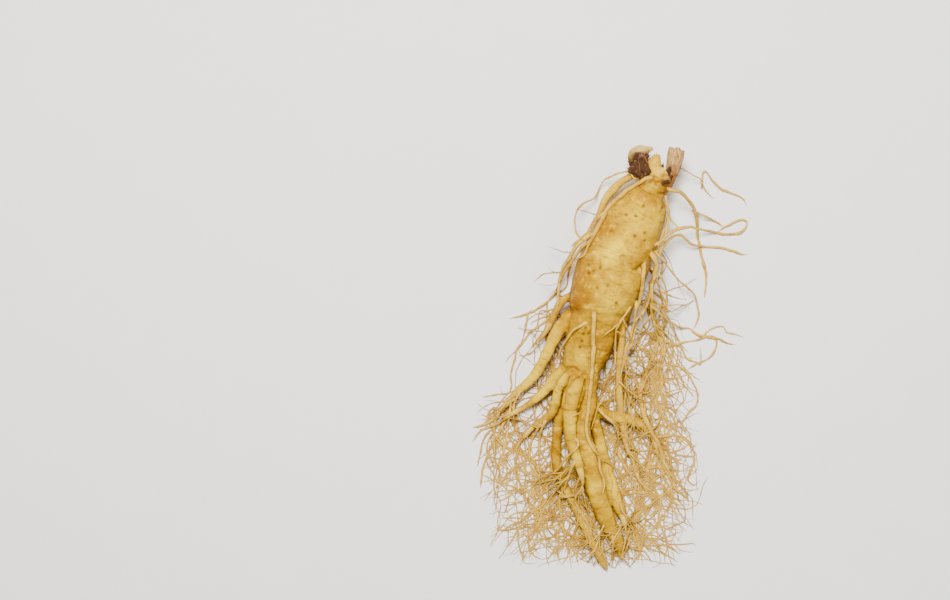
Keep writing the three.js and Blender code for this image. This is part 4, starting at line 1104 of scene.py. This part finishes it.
def papery_scale(wide, long, cup, roll, place, turn, dice):
    """A cupped plate with a wavy, torn edge. Its place is its middle and turn is in degrees."""
    across, along = np.meshgrid(np.linspace(-1, 1, 21), np.linspace(0, 1, 29))
    x = across.ravel()
    up = along.ravel() * (1 + 0.14 * lumps(on_axis(x * 3), 0.5, dice.integers(1 << 30)))
    taper = 1 - 0.72 * up ** 2
    seed = dice.integers(1 << 30)
    grid = np.column_stack([x * wide / 2, up * long, up * 0])
    edge = 1 + 0.12 * lumps(np.column_stack([up * 9, np.sign(x) * 5, x * 0]), 1, seed)
    flat = np.column_stack([x * wide / 2 * taper * edge, (up - 0.5) * long,
                            -cup * x ** 2 * taper - roll * up ** 2])
    flat[:, 2] += 0.35 * lumps(grid, 1.7, seed + 1) + 0.16 * np.sin(x * 11) * up
    thin = SCALE_THICKNESS * (1 - 0.6 * up)
    half = [0, 0, 1] * (thin[:, None] / 2)
    points = np.vstack([flat + half, flat - half])
    a, b, c = np.radians(turn)
    tilt = np.array([[1, 0, 0], [0, np.cos(a), -np.sin(a)], [0, np.sin(a), np.cos(a)]])
    roll_over = np.array([[np.cos(b), 0, np.sin(b)], [0, 1, 0], [-np.sin(b), 0, np.cos(b)]])
    spin = np.array([[np.cos(c), -np.sin(c), 0], [np.sin(c), np.cos(c), 0], [0, 0, 1]])
    points = points @ (tilt @ roll_over @ spin).T + np.array(place) - [MIDDLE_X, MIDDLE_Y, 0]
    rows, columns = across.shape
    index = np.arange(rows * columns).reshape(rows, columns)
    face = np.stack([index[:-1, :-1], index[:-1, 1:], index[1:, 1:], index[1:, :-1]], -1)
    face = face.reshape(-1, 4)
    rim = np.concatenate([index[0, :], index[1:, -1], index[-1, -2::-1], index[-2:0:-1, 0]])
    following = np.roll(rim, -1)
    under = rows * columns
    wall = np.stack([rim, rim + under, following + under, following], -1)
    quads = np.vstack([face, face[:, ::-1] + under, wall])
    veins = np.column_stack([x * wide / 2 * 2.2, x * 0, up * long * 0.25 + dice.uniform(0, 90)])
    return points, quads, np.tile(veins, (2, 1)), np.tile(np.maximum(np.abs(x), up), 2)


def scale_mesh(name, shapes, dice):
    """One mesh of one or more papery scales."""
    made = [papery_scale(*shape, dice) for shape in shapes]
    mesh = quad_mesh(name, *gather([one[:2] for one in made]))
    add_mask(mesh, "ring", np.vstack([one[2] for one in made]))
    add_mask(mesh, "edge", np.concatenate([one[3] for one in made]))
    return mesh


dry_scale, tree, output = new_material("dry_scale_paper")
veins = noise(tree, read_mask(tree, "ring", "Vector"), 1.6, 5, 0.6, 0.4)
brown = tones(tree, veins, (0.36, paint(26, 12, 4)), (0.66, paint(96, 58, 24)))
worn = remap(tree, read_mask(tree, "edge"), 0.82, 1, 0, 0.7)
colour = blend_colour(tree, worn, brown, paint(168, 122, 84))
bump = put(tree, "Bump", {"Height": veins, "Strength": 0.8, "Distance": 0.0004})
paper = put(tree, "BsdfPrincipled", {"Base Color": colour, "Normal": bump.outputs["Normal"],
                                     "Roughness": remap(tree, veins, 0, 1, 0.6, 0.9)})
paper.inputs["Specular IOR Level"].default_value = 0.2
tree.links.new(paper.outputs["BSDF"], output.inputs["Surface"])
dice = np.random.default_rng(61)
for number, shape in enumerate(SCALES, 1):
    name = f"papery_scale_{number}"
    piece = add_piece(name, scale_mesh(name, [shape], dice), dry_scale)
    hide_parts(f"bud_scale_{number}")
add_piece("scale_scraps", scale_mesh("scale_scraps", SCRAPS, dice), dry_scale)

# ---------------------------------------------------------------------------------------------
# Stem stub: what is left of last year's stem, a dried and flattened fibrous tube, torn off at
# the top and browned where it joins the crown. Its wall is thin round the hollow pith.
STUB = [
    [28.6, 90.4, 17, 2.2], [29.4, 93, 17.2, 2.6], [30.2, 95.6, 17.5, 2.9], [31, 98, 17.8, 3.3],
    [31.8, 101.5, 18, 3.8], [32.6, 105.5, 18, 4.1], [33.2, 109, 17.8, 4],
]
STUB_SIDES = 72
STUB_FLAT = 0.72
WALL = 0.9
BORE_DEPTH = 6
outer = follow(STUB, 0.35)
outer[:, 3] *= 1 + 0.03 * lumps(on_axis(outer[:, 1]), 2, 71)
angle = np.linspace(0, 2 * np.pi, STUB_SIDES, endpoint=False)
circle = np.column_stack([np.cos(angle), np.sin(angle), angle * 0])
rim_height = 0.5 * np.sin(angle + 1) + 0.9 * lumps(circle * 3, 1.1, 72)
fibre = 0.055 * lumps(circle * 6, 1, 73)
run, side, front = directions(outer)
length = lengths(outer)
rings, ring_values, bore_shades = [], [], []


def stub_ring(at, shrink, bore_shade):
    """One ring of the stub's wall: its points lean to the torn rim as they near the top. The last
    value is how dark the ring is painted as the shade inside the bore.
    """
    lean = np.clip(1 - (length[-1] - length[at]) / 5, 0, 1) ** 2 * rim_height
    radius = outer[at, 3] * (1 + fibre) - shrink
    points = (outer[at, :3] + (np.cos(angle) * radius)[:, None] * side[at]
              + (np.sin(angle) * radius * STUB_FLAT)[:, None] * front[at] + lean[:, None] * run[at])
    rings.append(points)
    ring_values.append(np.column_stack([np.cos(angle) * 4, np.sin(angle) * 4,
                                        np.full(STUB_SIDES, length[at] * 0.2)]))
    bore_shades.append(np.full(STUB_SIDES, bore_shade))


for at in range(len(outer)):
    stub_ring(at, 0, 0)
stub_ring(len(outer) - 1, WALL / 2, 0.3)
for at in range(len(outer) - 1, np.searchsorted(length, length[-1] - BORE_DEPTH), -1):
    stub_ring(at, WALL, 1)
stub_points, stub_quads = np.vstack(rings), tube_faces(len(rings), STUB_SIDES)
rough = 0.12 * outward(stub_points, stub_quads) * lumps(stub_points, 1.6, 74)[:, None]
stub_points = stub_points + rough
stub_mesh = quad_mesh("stem_stub", stub_points, stub_quads)
add_mask(stub_mesh, "ring", np.vstack(ring_values))
add_mask(stub_mesh, "bore_shade", np.concatenate(bore_shades))
low, high = stub_points[:, 1].min(), stub_points[:, 1].max()
add_mask(stub_mesh, "tip", (stub_points[:, 1] - low) / (high - low))

dry_stem, tree, output = new_material("dry_stem_fibre")
fibres = noise(tree, read_mask(tree, "ring", "Vector"), 2.2, 5, 0.65)
stain = noise(tree, put(tree, "TexCoord").outputs["Object"], 380, 3)
grey = tones(tree, fibres, (0.34, paint(104, 62, 28)), (0.62, paint(204, 164, 98)))
foot = combine(tree, "SUBTRACT", stain, read_mask(tree, "tip"))
colour = blend_colour(tree, remap(tree, foot, -0.1, 0.3, 0, 0.95), grey, paint(124, 72, 22))
# Painted shade inside the bore of the stub.
colour = blend_colour(tree, read_mask(tree, "bore_shade"), colour, paint(40, 22, 12))
bump = put(tree, "Bump", {"Height": fibres, "Strength": 0.8, "Distance": 0.0005})
bark = put(tree, "BsdfPrincipled", {"Base Color": colour, "Normal": bump.outputs["Normal"],
                                    "Roughness": remap(tree, fibres, 0, 1, 0.65, 0.9)})
bark.inputs["Specular IOR Level"].default_value = 0.2
tree.links.new(bark.outputs["BSDF"], output.inputs["Surface"])
stem_stub = add_piece("stem_stub", stub_mesh, dry_stem)
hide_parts("stem_base")
